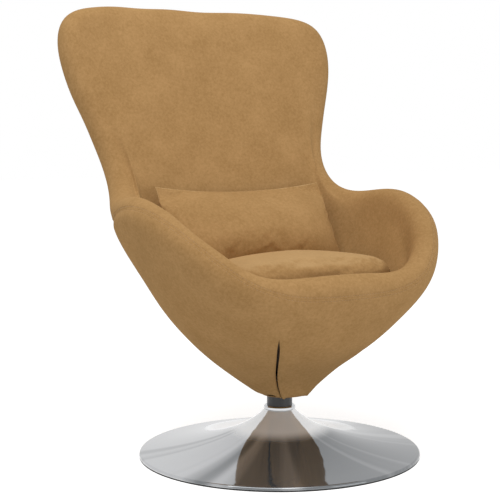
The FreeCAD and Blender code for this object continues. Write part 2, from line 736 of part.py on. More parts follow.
def layer(outer, outer_rows, inner, inner_rows, stations, missing=(), flat_start=False, flat_end=False):
    """A layer between two nets: cells between the stations and rows, less the missing cells.

    Each open border gets a ruled wall, or at a flat end the two rings get a flat cap each.
    """
    faces = []
    rings = {"start": ([], []), "end": ([], [])}
    columns = len(stations) - 1
    levels = len(outer_rows) - 1
    whole = stations[-1] - stations[0] == COUNT
    same_way = (outer_rows[0] < outer_rows[-1]) == (inner_rows[0] < inner_rows[-1])
    cells = {(column, level) for column in range(columns) for level in range(levels)} - set(missing)
    for column, level in sorted(cells):
        start, end = stations[column], stations[column + 1]
        pair = [
            patch(net, start, end, rows[level], rows[level + 1])
            for net, rows in ((outer, outer_rows), (inner, inner_rows))]
        faces += [surface.toShape() for surface in pair]
        for step, station in ((-1, start), (1, end)):
            beside = (column + step) % columns if whole else column + step
            if (beside, level) not in cells:
                faces.append(ruled(*[rib_edge(surface, station) for surface in pair], same_way))
        for step, which, place in ((-1, 0, "start"), (1, 1, "end")):
            if (column, level + step) in cells:
                continue
            edges = [
                across_edge(surface, rows[level + which])
                for surface, rows in zip(pair, (outer_rows, inner_rows))]
            at_end = level == 0 if place == "start" else level == levels - 1
            if at_end and (flat_start if place == "start" else flat_end):
                rings[place][0].append(edges[0])
                rings[place][1].append(edges[1])
            else:
                faces.append(ruled(*edges))
    for outer_ring, inner_ring in rings.values():
        faces += [flat_cap(ring) for ring in (outer_ring, inner_ring) if ring]
    return closed(faces)


def featured(label, shape):
    """A document object that holds a shape worked out from the sheet."""
    piece = doc.addObject("Part::Feature", label)
    piece.Shape = shape
    return piece


HALF_ROUND = COUNT / 2
# Where the pieces of the upholstery part, as shares of the way from the front's middle to the back's
BACK_SEAM_SHARE = 0.59
FRONT_PAD_SHARE = 0.18
BACK_PAD_SHARE = 0.41
DART_SHARE = 0.116
BACK_SEAM = BACK_SEAM_SHARE * HALF_ROUND
FRONT_PAD_END = FRONT_PAD_SHARE * HALF_ROUND
BACK_PAD_START = BACK_PAD_SHARE * HALF_ROUND
DART = DART_SHARE * HALF_ROUND
# The gap between two pieces along a rib, as a share of a station's step
SEAM_GAP_SHARE = 0.02
# How far the wadding stays off the hem and the seam, and the pads off the roll, in the same steps
HEM_CLEAR_SHARE = 0.05
SEAM_CLEAR_SHARE = 0.06
ROLL_CLEAR_SHARE = 0.1
# The core's net has ten rows; where its wall and its pads end and the pads start
CORE_NET_END = 10 - 3
CORE_END_SHARE = 0.45
PAD_START_SHARE = 0.243
CORE_END = CORE_END_SHARE * CORE_NET_END
PAD_START = PAD_START_SHARE * CORE_NET_END
# How far in the foams' foot stays of the core's foot, as a share of the core's
FOAM_FOOT_SHARE = 0.92


# How closely a row is searched for
ROW_CLOSE_SHARE = 1e-6


def height_row(net, station, height):
    """The row at which a station's rib of the bowl reaches a height."""
    surface = patch(net, math.floor(station), math.ceil(station), 0, SEAM)
    low, high = 0.0, SEAM
    while high - low > ROW_CLOSE_SHARE:
        middle = (low + high) / 2
        if surface.value(station, middle).z < height:
            low = middle
        else:
            high = middle
    return low


def moulded_core():
    """The moulded bowl that carries the upholstery: a flat floor and a wall up into the rim."""
    outer = core_net(worth("outer_stack"), worth("plate_top"))
    inner = core_net(worth("outer_stack") + size("core_wall"), worth("core_inside"))
    return layer(outer, (0, CORE_END), inner, (0, CORE_END), (0, HALF_ROUND, COUNT), flat_start=True)


def shell_core():
    """The moulded core, drilled for the bolts."""
    return drilled("shell_core", featured("shell_core_moulded", moulded_core()),
                   bolt_drills("shell_core", "bolt_radius + bolt_clearance"))


def seat_board():
    """The plywood board on the floor of the core, drilled for the tee nuts' barrels."""
    inset = worth("outer_stack") + size("core_wall") + size("board_clearance")
    ring = core_net(inset, worth("core_inside"))
    edges = [
        across_edge(patch(ring, start, start + HALF_ROUND, 0, 1), 0) for start in (0, HALF_ROUND)]
    board = flat_cap(edges).extrude(Vector(0, 0, size("board_thickness")))
    return drilled("seat_board", featured("seat_board_blank", board),
                   bolt_drills("seat_board", "tee_barrel_radius + tee_fit"))


def outer_wadding():
    """The foam between the core and the outer cover, from the hem to the seam."""
    rows = (HEM_CLEAR_SHARE, SEAM - SEAM_CLEAR_SHARE)
    outer = shell_net(size("cover_thickness") + size("layer_gap"))
    inner = shell_net(size("cover_thickness") + size("layer_gap") + size("wadding_thickness"))
    return featured("outer_wadding", layer(outer, rows, inner, rows, (0, HALF_ROUND, COUNT)))


def seat_foam():
    """The foam block under the cushion: it fills the bowl from the board to the floor."""
    lower = core_net(worth("outer_stack") + size("core_wall") + size("core_gap"),
                     worth("seat_foam_bottom"), FOAM_FOOT_SHARE)
    upper = shell_net(size("cover_thickness") + size("layer_gap"))
    return featured("seat_foam", layer(
        lower, (0, PAD_START - SEAM_GAP_SHARE), upper, (NET_END, LEDGE), (0, HALF_ROUND, COUNT),
        flat_start=True))


def wall_pad(label, start, end):
    """A foam pad on the inner side of the core's wall, between two stations."""
    lower = core_net(worth("outer_stack") + size("core_wall") + size("core_gap"),
                     worth("seat_foam_bottom"), FOAM_FOOT_SHARE)
    upper = shell_net(size("cover_thickness") + size("layer_gap"))
    first = start + SEAM_GAP_SHARE
    last = end - SEAM_GAP_SHARE
    stations = [first] + [station for station in (0, HALF_ROUND) if first < station < last] + [last]
    return featured(label, layer(
        lower, (PAD_START, CORE_END), upper, (LEDGE - SEAM_GAP_SHARE, ROLL_FOOT + ROLL_CLEAR_SHARE),
        stations))


def rim_roll():
    """The foam roll that pads the edge all the way round."""
    net = shell_net(size("cover_thickness") + size("layer_gap"))
    faces = []
    for start in (0, HALF_ROUND):
        surface = patch(net, start, start + HALF_ROUND, SEAM, ROLL_FOOT)
        faces.append(surface.toShape())
        faces.append(ruled(across_edge(surface, SEAM), across_edge(surface, ROLL_FOOT)))
    return featured("rim_roll", closed(faces))


def inner_cover():
    """The lining: from the seam over the roll, down the inside and across the floor."""
    rows = (SEAM + SEAM_GAP_SHARE, NET_END)
    return featured("inner_cover", layer(
        shell_net(0), rows, shell_net(size("cover_thickness")), rows, (0, HALF_ROUND, COUNT),
        flat_end=True))


def front_cover():
    """The outer cover round the front and the arms, with its two open darts."""
    outer = shell_net(0)
    inner = shell_net(size("cover_thickness"))
    dart_row = height_row(outer, DART, size("dart_height"))
    surface = patch(outer, math.floor(DART), math.ceil(DART), 0, SEAM)
    step = (surface.value(math.ceil(DART), dart_row) - surface.value(math.floor(DART), dart_row)).Length
    half_gap = size("dart_gap") / 2 / step
    rows = (0, dart_row, SEAM - SEAM_GAP_SHARE)
    stations = (
        SEAM_GAP_SHARE - BACK_SEAM, -DART - half_gap, -DART + half_gap, DART - half_gap,
        DART + half_gap, BACK_SEAM - SEAM_GAP_SHARE)
    return featured("front_cover", layer(
        outer, rows, inner, rows, stations, missing=((1, 0), (3, 0))))


def back_cover():
    """The outer cover of the back."""
    rows = (0, SEAM - SEAM_GAP_SHARE)
    stations = (BACK_SEAM + SEAM_GAP_SHARE, HALF_ROUND, COUNT - BACK_SEAM - SEAM_GAP_SHARE)
    return featured("back_cover", layer(
        shell_net(0), rows, shell_net(size("cover_thickness")), rows, stations))


def bottom_cover():
    """The round cloth that closes the hem, with a hole that stays clear of the column."""
    cloth = rod("bottom_cloth", "bottom_cover_radius", "cover_thickness", "0", "-hem_forward", "hem_height")
    hole = rod("column_hole", "column_radius + column_hole_gap", "cover_thickness + 2 * overrun",
               "0", "0", "hem_height - overrun")
    return drilled("bottom_cover", cloth, [hole])


# The loose pieces: rings of poles at even angles, closed by a small flat ring at either end.
# Each row of the cushion is (reach share, height share); the small rings are the crown's and foot's.
HUB_SHARE = 0.12
CUSHION_ROW_SHARES = (
    (HUB_SHARE, 0.0), (0.5, 0.0), (0.84, 0.0), (0.95, 0.14), (1.0, 0.38), (1.0, 0.64), (0.985, 0.86),
    (0.86, 1.0), (0.5, 1.0), (HUB_SHARE, 1.0))
# The cushion's plan: how far it is from an oval to a box, and how much narrower its back is
CUSHION_BOX_SHARE = 0.62
CUSHION_TAPER_SHARE = 0.14
# Each row of the pillow is (reach share, thickness share), from the front face to the back face
PILLOW_ROW_SHARES = (
    (HUB_SHARE, 1.0), (0.5, 0.98), (0.8, 0.72), (0.95, 0.3), (1.0, 0.06), (1.0, -0.06), (0.95, -0.3),
    (0.8, -0.72), (0.5, -0.98), (HUB_SHARE, -1.0))
PILLOW_BOX_SHARE = 0.34
LOOSE_NET_END = len(CUSHION_ROW_SHARES) - 3
# Where the zips sit: the shares of the way over the rows, and how far round from the back's middle
CUSHION_ZIP_SHARES = (0.47, 0.535)
PILLOW_ZIP_SHARES = (0.66, 0.77)
ZIP_HALF_SHARE = 0.18
ZIP_HALF_STATIONS = ZIP_HALF_SHARE * HALF_ROUND


def cushion_net(inset):
    """The seat cushion's skin, moved in by the inset."""
    net = []
    bottom = size("floor_height") + size("cushion_rest") + inset
    crown_height = size("cushion_height") - 2 * inset
    for reach, rise in CUSHION_ROW_SHARES:
        off_hub = (reach - HUB_SHARE) / (1 - HUB_SHARE)
        ring = []
        for index in range(COUNT):
            angle = 2 * math.pi * index / COUNT
            ahead = squared(math.cos(angle), CUSHION_BOX_SHARE)
            aside = squared(math.sin(angle), CUSHION_BOX_SHARE)
            hub = -size("cushion_crown_forward")
            depth = size("cushion_front") + hub if ahead > 0 else size("cushion_back") - hub
            end_height = size("cushion_front_height") if ahead > 0 else size("cushion_back_height")
            edge_height = size("cushion_side_height") - 2 * inset
            edge_height += (end_height - size("cushion_side_height")) * ahead * ahead
            half_width = size("cushion_half_width") * (1 - CUSHION_TAPER_SHARE * max(-ahead, 0))
            height = crown_height + (edge_height - crown_height) * off_hub * off_hub
            ring.append(Vector(
                (half_width - inset) * aside * reach, hub - (depth - inset) * ahead * reach,
                bottom + rise * height))
        net.append(ring)
    return net


def pillow_net(inset):
    """The lumbar pillow's skin, moved in by the inset: two bulged faces that meet at a thin seam."""
    lean = math.radians(size("pillow_lean_degrees"))
    crown = size("floor_height") + size("cushion_height")
    centre = Vector(0, back_face(0, crown) - size("pillow_forward"), crown)
    upwards = Vector(0, math.sin(lean), math.cos(lean))
    forwards = Vector(0, -math.cos(lean), math.sin(lean))
    half_width = size("pillow_half_width") - inset
    half_height = size("pillow_half_height") - inset
    half_thickness = size("pillow_half_thickness") - inset
    net = []
    for reach, bulge in PILLOW_ROW_SHARES:
        ring = []
        for index in range(COUNT):
            angle = 2 * math.pi * index / COUNT
            across = half_width * reach * squared(math.sin(angle), PILLOW_BOX_SHARE)
            along = half_height * reach * squared(math.cos(angle), PILLOW_BOX_SHARE)
            dip = size("pillow_dip") * (1 - (across / half_width) ** 2) * reach * reach
            along -= math.copysign(dip, along)
            ring.append(centre + Vector(across, 0, 0) + upwards * along
                        + forwards * (bulge * half_thickness))
        net.append(ring)
    return net


def loose_cover(label, net, zip_shares):
    """A cover sewn round a filling, open where its zip sits."""
    low, high = [share * LOOSE_NET_END for share in zip_shares]
    rows = (0, low, high, LOOSE_NET_END)
    stations = (0, HALF_ROUND - ZIP_HALF_STATIONS, HALF_ROUND + ZIP_HALF_STATIONS, COUNT)
    return featured(label, layer(
        net(0), rows, net(size("loose_cover")), rows, stations, missing=((1, 1),),
        flat_start=True, flat_end=True))


def filling(label, net):
    """The filling inside a cover."""
    skin = net(size("loose_cover") + size("layer_gap"))
    halves = [patch(skin, start, start + HALF_ROUND, 0, LOOSE_NET_END) for start in (0, HALF_ROUND)]
    faces = [half.toShape() for half in halves]
    faces += [flat_cap([across_edge(half, row) for half in halves]) for row in (0, LOOSE_NET_END)]
    return featured(label, closed(faces))


def zipper(label, net, zip_shares):
    """The zip in a cover's opening, a hair smaller than the opening all round."""
    skin = net(0)
    surface = patch(skin, HALF_ROUND - 1, HALF_ROUND + 1, 0, LOOSE_NET_END)
    low, high = [share * LOOSE_NET_END for share in zip_shares]
    width = (surface.value(HALF_ROUND, high) - surface.value(HALF_ROUND, low)).Length
    row_gap = size("zip_gap") / width * (high - low)
    step = (surface.value(HALF_ROUND + 1, low) - surface.value(HALF_ROUND, low)).Length
    station_gap = size("zip_gap") / step
    rows = (low + row_gap, high - row_gap)
    stations = (HALF_ROUND - ZIP_HALF_STATIONS + station_gap, HALF_ROUND + ZIP_HALF_STATIONS - station_gap)
    return featured(label, layer(skin, rows, net(size("loose_cover")), rows, stations))


def pillow_lift(pillow, cushion):
    """How far up the pillow goes from where its net lies until it just rests on the cushion.

    From clear above the cushion it comes down by the gap that is left, again and again.
    """
    lift = 2 * size("pillow_half_height")
    gap = size("pillow_rest")
    left = math.inf
    while left > gap / 2:
        raised = pillow.Shape.copy()
        raised.translate(Vector(0, 0, lift))
        left = raised.distToShape(cushion.Shape)[0] - gap
        lift -= left
    return lift


# The standing part
keep(gasket())
keep(base_disc())
keep(neck_ring())
keep(column_socket())
keep(ballast_plate())
keep(ballast_screws())
keep(ballast_nuts())
keep(tube("column", "column_inner", "column_radius", "column_bottom", "column_top"))
keep(tube("lower_bush", "bush_inner", "bush_outer", "lower_bush_height", "lower_bush_height + bush_length"))
keep(upper_bush())
keep(tube("lower_race", "race_inner_radius", "race_outer_radius", "race_bottom",
          "race_bottom + race_thickness"))
keep(bearing_balls())
keep(bearing_cage())

# The turning part
keep(tube("upper_race", "race_inner_radius", "race_outer_radius", "upper_race_bottom", "hub_bottom"))
keep(spindle())
keep(tube("stop_washer", "bush_inner", "stop_washer_radius", "stop_washer_bottom",
          "stop_washer_bottom + stop_washer"))
keep(spindle_clip())
keep(swivel_plate())
keep(plate_washers())
keep(plate_bolts())
keep(tee_nuts())
keep(shell_core())
keep(seat_board())

# The upholstery on the core
keep(outer_wadding())
keep(seat_foam())
keep(wall_pad("front_pad", -FRONT_PAD_END, FRONT_PAD_END))
keep(wall_pad("left_arm_pad", COUNT - BACK_PAD_START, COUNT - FRONT_PAD_END))
keep(wall_pad("right_arm_pad", FRONT_PAD_END, BACK_PAD_START))
keep(wall_pad("back_pad", BACK_PAD_START, COUNT - BACK_PAD_START))
keep(rim_roll())
keep(inner_cover())
keep(front_cover())
keep(back_cover())
keep(bottom_cover())

# The loose pieces
cushion = keep(loose_cover("seat_cushion", cushion_net, CUSHION_ZIP_SHARES))
keep(filling("cushion_foam", cushion_net))
keep(zipper("cushion_zip", cushion_net, CUSHION_ZIP_SHARES))
pillow_pieces = [
    keep(loose_cover("lumbar_pillow", pillow_net, PILLOW_ZIP_SHARES)),
    keep(filling("pillow_filling", pillow_net)),
    keep(zipper("pillow_zip", pillow_net, PILLOW_ZIP_SHARES))]
pillow_rise = Vector(0, 0, pillow_lift(pillow_pieces[0], cushion))
for piece in pillow_pieces:
    piece.Placement = FreeCAD.Placement(pillow_rise, FreeCAD.Rotation())
doc.recompute()

for item in doc.Objects:
    if "Invalid" in item.State or "Error" in item.State:
        raise RuntimeError("%s has not been worked out: %s" % (item.Label, item.State))
os.makedirs("parts", exist_ok=True)
for piece in PIECES:
    shape = piece.Shape
    if shape.isNull() or not shape.isValid() or not shape.Solids:
        raise RuntimeError("%s is not a sound solid" % piece.Label)
    shape.exportStep("parts/%s.step" % piece.Label)
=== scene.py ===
"""The looks of an egg chair: velvet upholstery, a chromed trumpet base and a plain studio.

Metres. The origin is on the floor, on the swivel axis. The sitter faces -Y, and +Z is up.
"""

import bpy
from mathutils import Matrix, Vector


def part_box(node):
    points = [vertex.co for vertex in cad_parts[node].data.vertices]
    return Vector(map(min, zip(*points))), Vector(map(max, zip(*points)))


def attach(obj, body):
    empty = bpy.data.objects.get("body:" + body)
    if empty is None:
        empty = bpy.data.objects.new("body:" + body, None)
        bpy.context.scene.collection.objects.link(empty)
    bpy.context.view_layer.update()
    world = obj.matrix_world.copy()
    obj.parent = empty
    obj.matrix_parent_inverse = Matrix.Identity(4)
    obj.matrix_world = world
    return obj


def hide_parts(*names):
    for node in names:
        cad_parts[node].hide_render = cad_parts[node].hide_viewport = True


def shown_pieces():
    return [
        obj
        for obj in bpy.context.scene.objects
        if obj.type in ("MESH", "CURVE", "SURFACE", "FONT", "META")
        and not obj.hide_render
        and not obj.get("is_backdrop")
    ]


bl_info = {
    "name": "Egg chair",
    "blender": (4, 5, 0),
    "version": (1, 0, 0),
    "location": "View3D > Sidebar > Egg chair",
    "description": "Builds an upholstered egg chair around its frame, with its materials and studio",
    "category": "Object",
}

import math

import bpy
import numpy as np
from bpy.props import FloatProperty, FloatVectorProperty, PointerProperty
from mathutils import Vector
from mathutils.bvhtree import BVHTree

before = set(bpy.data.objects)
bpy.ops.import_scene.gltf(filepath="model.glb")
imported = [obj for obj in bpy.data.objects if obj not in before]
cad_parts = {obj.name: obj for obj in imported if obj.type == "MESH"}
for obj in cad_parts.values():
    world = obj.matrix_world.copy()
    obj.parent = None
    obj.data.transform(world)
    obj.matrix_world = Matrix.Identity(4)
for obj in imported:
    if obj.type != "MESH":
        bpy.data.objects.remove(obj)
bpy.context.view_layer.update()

# Numbers too small to count: a step short of a net's end, and a length of nothing
STEP_SHORT = 1e-9
NO_LENGTH = 1e-12
# Rows of the shell's net: a surface's second parameter runs 0 at the hem, 4 at the rim's outer side,
# 8 at its inner side and 12 at the ring on the floor. Its first counts stations from the front.
NET_END = 12
BACK_SEAM = 6.5
# The seam under the roll: its rows in front, on the arms and behind, and the stations between them
FRONT_SEAM_ROW = 4.0
ARM_SEAM_ROW = 5.45
SEAM = 3.6
ARM_SEAM_STATION = 3.0
SEAM_END_STATION = 5.5
# The rows below and above which the covers no longer follow the seam's climb
WARP_START_ROW = 2.0
WARP_END_ROW = 8.0
# Where the fold between wings and back is smoothed, over how many rows and stations that sets in and
# ends, and how often it is done
FOLD_START_ROW = 7.9
FOLD_END_ROW = 11.5
FOLD_STATION = 5.0
FOLD_START_ROWS = 1.3
FOLD_END_ROWS = 1.2
FOLD_STATIONS = 0.8
FOLD_PASSES = 200
# The darts: their station high up, and how they flare apart towards the hem
DART = 1.09
DART_FLARE = 0.45
DART_FLARE_ROWS = 0.35
# Shares of a dart's length below its tip over which it opens, curls its lips and stands out, and by
# how much more it is open at the hem
DART_OPEN_SHARE = 1 / 3
DART_CURL_SHARE = 1 / 6
DART_PROUD_SHARE = 1 / 4
DART_WIDER_SHARE = 0.3
# Metres beside a dart in which its lips curl and the panel stands out
DART_CURL_WIDTH = 0.004
DART_PROUD_WIDTH = 0.03
# The swells of the outer cover on the arms and of the roll in front: their middles and their spans
ARM_SWELL_STATION = 4.6
ARM_SWELL_ROW = 2.7
ARM_SWELL_SPAN = 0.9
ARM_SWELL_END_ROWS = 0.5
LIP_SWELL_ROW = 6.6
LIP_SWELL_ROWS = 0.9
LIP_SWELL_STATIONS = 1.3
# Rows beside the hem and beside the seam in which the mesh is finer
HEM_BAND = 0.25
SEAM_BAND = 0.35
# The hem: its depth in rows, how far it turns in, and the height and length of its waves, in metres
HEM_ROWS = 0.045
HEM_TURN_IN = 0.0016
HEM_WAVE_HEIGHT = 0.0022
HEM_WAVE = 0.05
# The covers' unevenness: its height and wave lengths in metres, and the rows in which it fades out
RIPPLE_HEIGHT = 0.0009
COVER_RIPPLE = 0.16
LINING_RIPPLE = 0.14
RIPPLE_FADE_ROWS = 0.8
# Metres of skin between two stations at the seam of the back
STATION_WIDTH = 0.085
# A step along the rows that gives the skin's direction and its metres for each row
ROW_STEP = 0.02
# Stations of the rim: plan angle in degrees, shares of half width, of reach and of rise
ARM_STATION_SHARES = (
    (0, 0.0, -1.0, 0.0), (26, 0.416, -0.987, -0.083), (49, 0.708, -0.86, 0.127),
    (70, 0.938, -0.485, 0.669), (89, 1.0, 0.03, 1.0), (106, 0.935, 0.305, 0.841))
WAIST_STATION_SHARES = ((122, 1.016, 0.547, -0.012), (136, 1.0, 0.727, 0.278))
WING_STATION_SHARES = (
    (150, 0.957, 0.825, 0.668), (161, 1.0, 0.895, 0.987), (171, 0.62, 0.98, 1.0), (180, 0.0, 1.0, 0.99))
SHOULDER_SHARE = 0.55
OUTER_WALL_SHARE = 1.1
INNER_WALL_SHARE = 1.3
WALL_LEAN_SHARE = 0.75
ROUND_SHARE = 6 / (4 + 2 * math.cos(math.radians(45)))
SEAT_WALL_SHARE = 1.05
FLOOR_BOX_SHARE = 0.66
FLOOR_RING_SHARE = 0.8
BACK_FAN_SHARE = 1.25
SPINE_DROP_SHARE = 0.45
# Plan angle off the front at which the back sets in, and over how many degrees, both ways round
BACK_START = 95
BACK_BLEND = 50


def length(name, default, description, **more):
    """A property that holds a length in metres."""
    return FloatProperty(
        name=name, description=description, default=default, unit="LENGTH", subtype="DISTANCE", **more)


def colour(name, default, description):
    """A property that holds a colour."""
    return FloatVectorProperty(
        name=name, description=description, default=default, size=3, min=0.0, max=1.0, subtype="COLOR")


class ShellSizes(bpy.types.PropertyGroup):
    """Sizes of the upholstered shell."""
    rim_radius: length("Rim radius", 0.030, "Radius of the padded edge")
    front_reach: length("Front reach", 0.235, "Rim's centre line in front of the swivel axis")
    back_reach: length("Back reach", 0.400, "Rim's centre line behind the swivel axis")
    lip_height: length("Lip height", 0.378, "Rim's centre line in the middle of the front")
    arm_height: length("Arm height", 0.538, "Rim's centre line on the arms")
    top_height: length("Top height", 0.938, "Rim's centre line on top of the back")
    arm_half_width: length("Arm half width", 0.326, "Half the distance between the arms' centre lines")
    waist_half_width: length("Waist half width", 0.250, "Half width where arms and back meet")
    wing_half_width: length("Wing half width", 0.333, "Half width across the top of the back")
    hem_height: length("Hem height", 0.133, "Height of the lower edge of the covers")
    hem_radius: length("Hem radius", 0.053, "Radius of the opening at the hem")
    hem_forward: length("Hem forward", 0.020, "How far the hem lies in front of the swivel axis")
    belly_height: length("Belly height", 0.172, "Height of the row above the hem")
    belly_half_width: length("Belly half width", 0.113, "Half width of the row above the hem")
    belly_front: length("Belly front", 0.09, "Front reach of the row above the hem")
    belly_back: length("Belly back", 0.136, "Back reach of the row above the hem")
    bowl_half_width: length("Bowl half width", 0.234, "Half width of the bowl's row")
    bowl_front: length("Bowl front", 0.192, "Front reach of the bowl's row")
    bowl_back: length("Bowl back", 0.242, "Back reach of the bowl's row")
    bowl_front_height: length("Bowl front height", 0.225, "Height of the bowl's row in front")
    bowl_side_height: length("Bowl side height", 0.268, "Height of the bowl's row at the sides")
    bowl_back_height: length("Bowl back height", 0.330, "Height of the bowl's row behind")
    wall_aim_height: length("Wall aim height", 0.150, "Height that the walls aim at")
    floor_height: length("Floor height", 0.315, "Height of the lining under the cushion")
    floor_half_width: length("Floor half width", 0.222, "Half width of that lining")
    floor_front: length("Floor front", 0.184, "Front reach of that lining")
    floor_back: length("Floor back", 0.132, "Back reach of that lining")
    seat_wall_front_rise: length("Front wall rise", 0.010, "Rise of the wall beside the cushion in front")
    seat_wall_side_rise: length("Side wall rise", 0.055, "Rise of the wall beside the cushion at the sides")
    seat_wall_back_rise: length("Back wall rise", 0.070, "Rise of the wall beside the cushion behind")
    back_slope_run: length("Back slope run", 0.230, "How far the face of the back leans from seat to top")
    back_dish: length("Back dish", 0.026, "How far the wings stand in front of the back's middle")
    cover_thickness: length("Cover thickness", 0.0016, "Thickness of the velvet with its lining")
    bottom_radius: length("Bottom radius", 0.0494, "Radius of the cloth that closes the hem")
    column_hole: length("Column hole", 0.0275, "Radius of the hole that lets the column through")


class SewingSizes(bpy.types.PropertyGroup):
    """Sizes of the seams, the stitches and the darts."""
    seam_depth: length("Seam depth", 0.0007, "Depth of the groove along a seam")
    seam_width: length("Seam width", 0.0016, "Half width of the groove along a seam")
    stitch_length: length("Stitch length", 0.0048, "Length of one stitch")
    stitch_pitch: length("Stitch pitch", 0.0066, "Distance from one stitch to the next")
    stitch_radius: length("Stitch radius", 0.00055, "Radius of the thread")
    stitch_offset: length("Stitch offset", 0.0040, "Distance of the stitches from the seam")
    dart_height: length("Dart height", 0.288, "Height of the top of the darts")
    dart_gap: length("Dart gap", 0.0042, "Width of the open darts")
    dart_curl: length("Dart curl", 0.0022, "How far the lips of the darts turn in")
    dart_proud: length("Dart proud", 0.0026, "How far the panel between the darts stands out")
    arm_fullness: length("Arm fullness", 0.0075, "How far the outer covers swell on the arms")
    lip_fullness: length("Lip fullness", 0.0045, "How far the roll swells over the front of the seat")


class CushionSizes(bpy.types.PropertyGroup):
    """Sizes of the seat cushion."""
    half_width: length("Half width", 0.204, "Half width of the cushion")
    front: length("Front", 0.188, "Front reach of the cushion")
    back: length("Back", 0.094, "Back reach of the cushion")
    crown_forward: length("Crown forward", 0.060, "How far the crown lies in front of the axis")
    height: length("Height", 0.120, "Height of the crown above the cushion's foot")
    front_height: length("Front height", 0.112, "Height of the front edge")
    side_height: length("Side height", 0.100, "Height of the side edges")
    back_height: length("Back height", 0.076, "Height of the back edge")
    rest: length("Rest", 0.0003, "Clearance between the cushion and the lining")


class PillowSizes(bpy.types.PropertyGroup):
    """Sizes of the lumbar pillow."""
    half_width: length("Half width", 0.207, "Half width of the pillow")
    half_height: length("Half height", 0.1099, "Half height of the pillow along its lean")
    half_thickness: length("Half thickness", 0.050, "Half thickness in the middle")
    centre_back: length("Centre back", 0.1269, "How far the pillow's centre lies behind the axis")
    centre_height: length("Centre height", 0.4658, "Height of the pillow's centre")
    lean: FloatProperty(name="Lean", description="Lean from upright", default=math.radians(31.8),
                        subtype="ANGLE", unit="ROTATION")
    dip: length("Dip", 0.0072, "How far the long edges curve in between the ears")
    bow: length("Bow", 0.0177, "How far the ends come forwards")
    rest: length("Rest", 0.0008, "Clearance between the pillow and what it leans on")


class FinishColours(bpy.types.PropertyGroup):
    """Colours of the finishes."""
    velvet_dark: colour("Velvet dark", (0.346, 0.197, 0.075), "Colour where the nap lies away")
    velvet_light: colour("Velvet light", (0.450, 0.265, 0.111), "Colour where the nap lies towards")
    # Painted sheen: the lighter colour painted on the nap where the cloth is seen edge-on
    painted_sheen: colour("Painted sheen", (0.525, 0.325, 0.140), "Colour of the painted sheen where the cloth is seen edge-on")
    # Painted light: the lighter colour painted on the cushion's top and on the pillow's seams
    painted_light: colour("Painted light", (0.640, 0.430, 0.215), "Lighter colour painted on the nap as painted light")
    thread: colour("Thread", (0.420, 0.255, 0.115), "Colour of the sewing thread")
    # Chrome is the metal's own colour and also the light end of the base's painted reflections; the two
    # colours below are painted reflections
    chrome: colour("Chrome", (0.52, 0.53, 0.545), "Colour of the chromed base")
    chrome_painted_reflection_dark: colour("Chrome painted reflection dark", (0.190, 0.200, 0.210), "Colour of the painted dark reflections on the base")
    chrome_neck_painted_light: colour("Chrome neck painted light", (0.92, 0.93, 0.94), "Colour of the painted bright reflection up the neck")
    steel: colour("Steel", (0.50, 0.50, 0.51), "Colour of the bare steel")
    black: colour("Black", (0.022, 0.022, 0.024), "Colour of the black column")
    rubber: colour("Rubber", (0.020, 0.020, 0.020), "Colour of the rubber ring")
    nylon: colour("Nylon", (0.75, 0.73, 0.68), "Colour of the bushes")
    moulded: colour("Moulded shell", (0.070, 0.043, 0.022), "Colour of the moulded core")
    plywood: colour("Plywood", (0.50, 0.33, 0.17), "Colour of the plywood board")


class StudioSizes(bpy.types.PropertyGroup):
    """Camera and light of the studio."""
    camera_distance: length("Camera distance", 2.6316, "Level distance from the swivel axis")
    camera_height: length("Camera height", 0.6896, "Height of the camera")
    camera_azimuth: FloatProperty(name="Camera azimuth", description="Angle of the camera off the front",
                                  default=math.radians(32), subtype="ANGLE", unit="ROTATION")
    camera_pitch: FloatProperty(name="Camera pitch", description="Angle that the camera looks down",
                                default=0.096, subtype="ANGLE", unit="ROTATION")
    lens: FloatProperty(name="Lens", description="Focal length in millimetres", default=90.0,
                        unit="CAMERA")
    shift: FloatProperty(name="Shift", description="Sideways shift of the lens", default=-0.0592,
                         unit="NONE")
    key_power: FloatProperty(name="Key power", description="Power of the large light above",
                             default=39.0, unit="POWER")
    fill_power: FloatProperty(name="Fill power", description="Power of the light beside the camera",
                              default=11.0, unit="POWER")
    world_level: FloatProperty(name="World level", description="Level of the white surroundings",
                               default=0.55, unit="NONE")
    floor_glow: FloatProperty(name="Floor glow", description="How much the floor glows to the camera",
                              default=0.55, unit="NONE")


def sizes(name):
    """One of the scene's property groups."""
    return getattr(bpy.context.scene, "egg_chair_" + name)


def smoothstep(value):
    """3t^2 - 2t^3 with t held between 0 and 1."""
    value = np.clip(value, 0, 1)
    return value * value * (3 - 2 * value)


def unit(vectors):
    """Vectors at length one."""
    return vectors / np.linalg.norm(vectors, axis=-1, keepdims=True)


def squared(values, box_share):
    """sign(c) |c|^share: a sine or cosine with its curve pushed out towards a box."""
    return np.sign(values) * np.abs(values) ** box_share


def whole_ring(half, mirror_side):
    """A whole ring from its half; the mirrored stations come back in the opposite order."""
    other = half[1:-1][::-1].copy()
    if mirror_side:
        other[:, 0] *= -1
    else:
        other = 2 * math.pi - other
    return np.concatenate([half, other])


